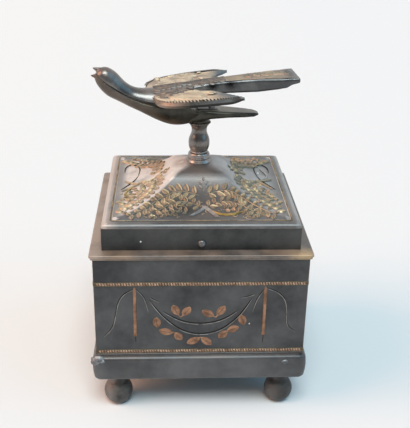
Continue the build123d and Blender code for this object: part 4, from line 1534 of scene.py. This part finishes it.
def make_lights():
    """Soft lamps from the left, right and front; metal sees a pale backdrop that is brightest behind."""
    make_lamp("warm lamp", -78, 38, 1.65, (1.0, 0.53, 0.33), 40)
    make_lamp("cool lamp", 70, 36, 0.62, (0.15, 0.62, 1.0), 55)
    make_lamp("front lamp", 0, 62, 2.05, (0.87, 0.985, 1.0), 30)
    world = bpy.data.worlds.new("studio")
    bpy.context.scene.world = world
    world.use_nodes = True
    tree = world.node_tree
    soft = tree.nodes["Background"]
    soft.inputs["Color"].default_value = (0.92, 0.99, 1.0, 1)
    soft.inputs["Strength"].default_value = 0.2
    place = put(tree, "ShaderNodeTexCoord")
    way = put(tree, "ShaderNodeSeparateXYZ", {0: place.outputs["Generated"]})
    share = ramp(tree, way.outputs["Y"], -0.7, 0.8)
    backdrop = blended(tree, share, (0.3, 0.31, 0.32, 1), (1.0, 1.0, 1.0, 1))
    paper = put(tree, "ShaderNodeBackground", {"Color": backdrop})
    path = put(tree, "ShaderNodeLightPath").outputs
    seen = path["Is Camera Ray"]
    for ray in ("Is Glossy Ray", "Is Transmission Ray"):
        seen = put(tree, "ShaderNodeMath", {0: seen, 1: path[ray]}, operation="MAXIMUM").outputs[0]
    both = put(tree, "ShaderNodeMixShader", {0: seen})
    tree.links.new(soft.outputs[0], both.inputs[1])
    tree.links.new(paper.outputs[0], both.inputs[2])
    tree.links.new(both.outputs[0], tree.nodes["World Output"].inputs["Surface"])


# Camera: found by fitting the box's corners in the photograph
camera_place = (-0.0192, -0.4366, 0.3025)
camera_pitch = math.radians(24.57)
camera_yaw = math.radians(3.095)
camera_roll = math.radians(1.149)
focal_pixels = 777.0
picture_height = 428.0


def make_camera():
    """The camera of the photograph."""
    data = bpy.data.cameras.new("camera")
    data.sensor_width = 36.0
    data.lens = focal_pixels * data.sensor_width / picture_height
    data.clip_start, data.clip_end = 0.01, 100.0
    camera = bpy.data.objects.new("camera", data)
    forward = Vector((
        math.sin(camera_yaw) * math.cos(camera_pitch),
        math.cos(camera_yaw) * math.cos(camera_pitch),
        -math.sin(camera_pitch),
    ))
    right = Vector((math.cos(camera_yaw), -math.sin(camera_yaw), 0))
    up = right.cross(forward)
    level_right = math.cos(camera_roll) * right + math.sin(camera_roll) * up
    level_up = -math.sin(camera_roll) * right + math.cos(camera_roll) * up
    turn = Matrix((level_right, level_up, -forward)).transposed().to_4x4()
    camera.matrix_world = Matrix.Translation(camera_place) @ turn
    bpy.context.collection.objects.link(camera)
    bpy.context.scene.camera = camera
    bpy.context.scene.view_settings.view_transform = "Standard"


make_camera()
make_lights()
make_stage()
coat_nodes()
make_feet()
make_moulding()
make_solder()
make_walls()
make_garland()
make_ropes()
make_crown()
make_lid_relief()
make_lid_border()
make_nicks()
make_button()
make_post()
head_and_tail = make_bird_halves()
near_wing = make_wings()[0]
make_back_and_tail([head_and_tail, near_wing])
make_linings()
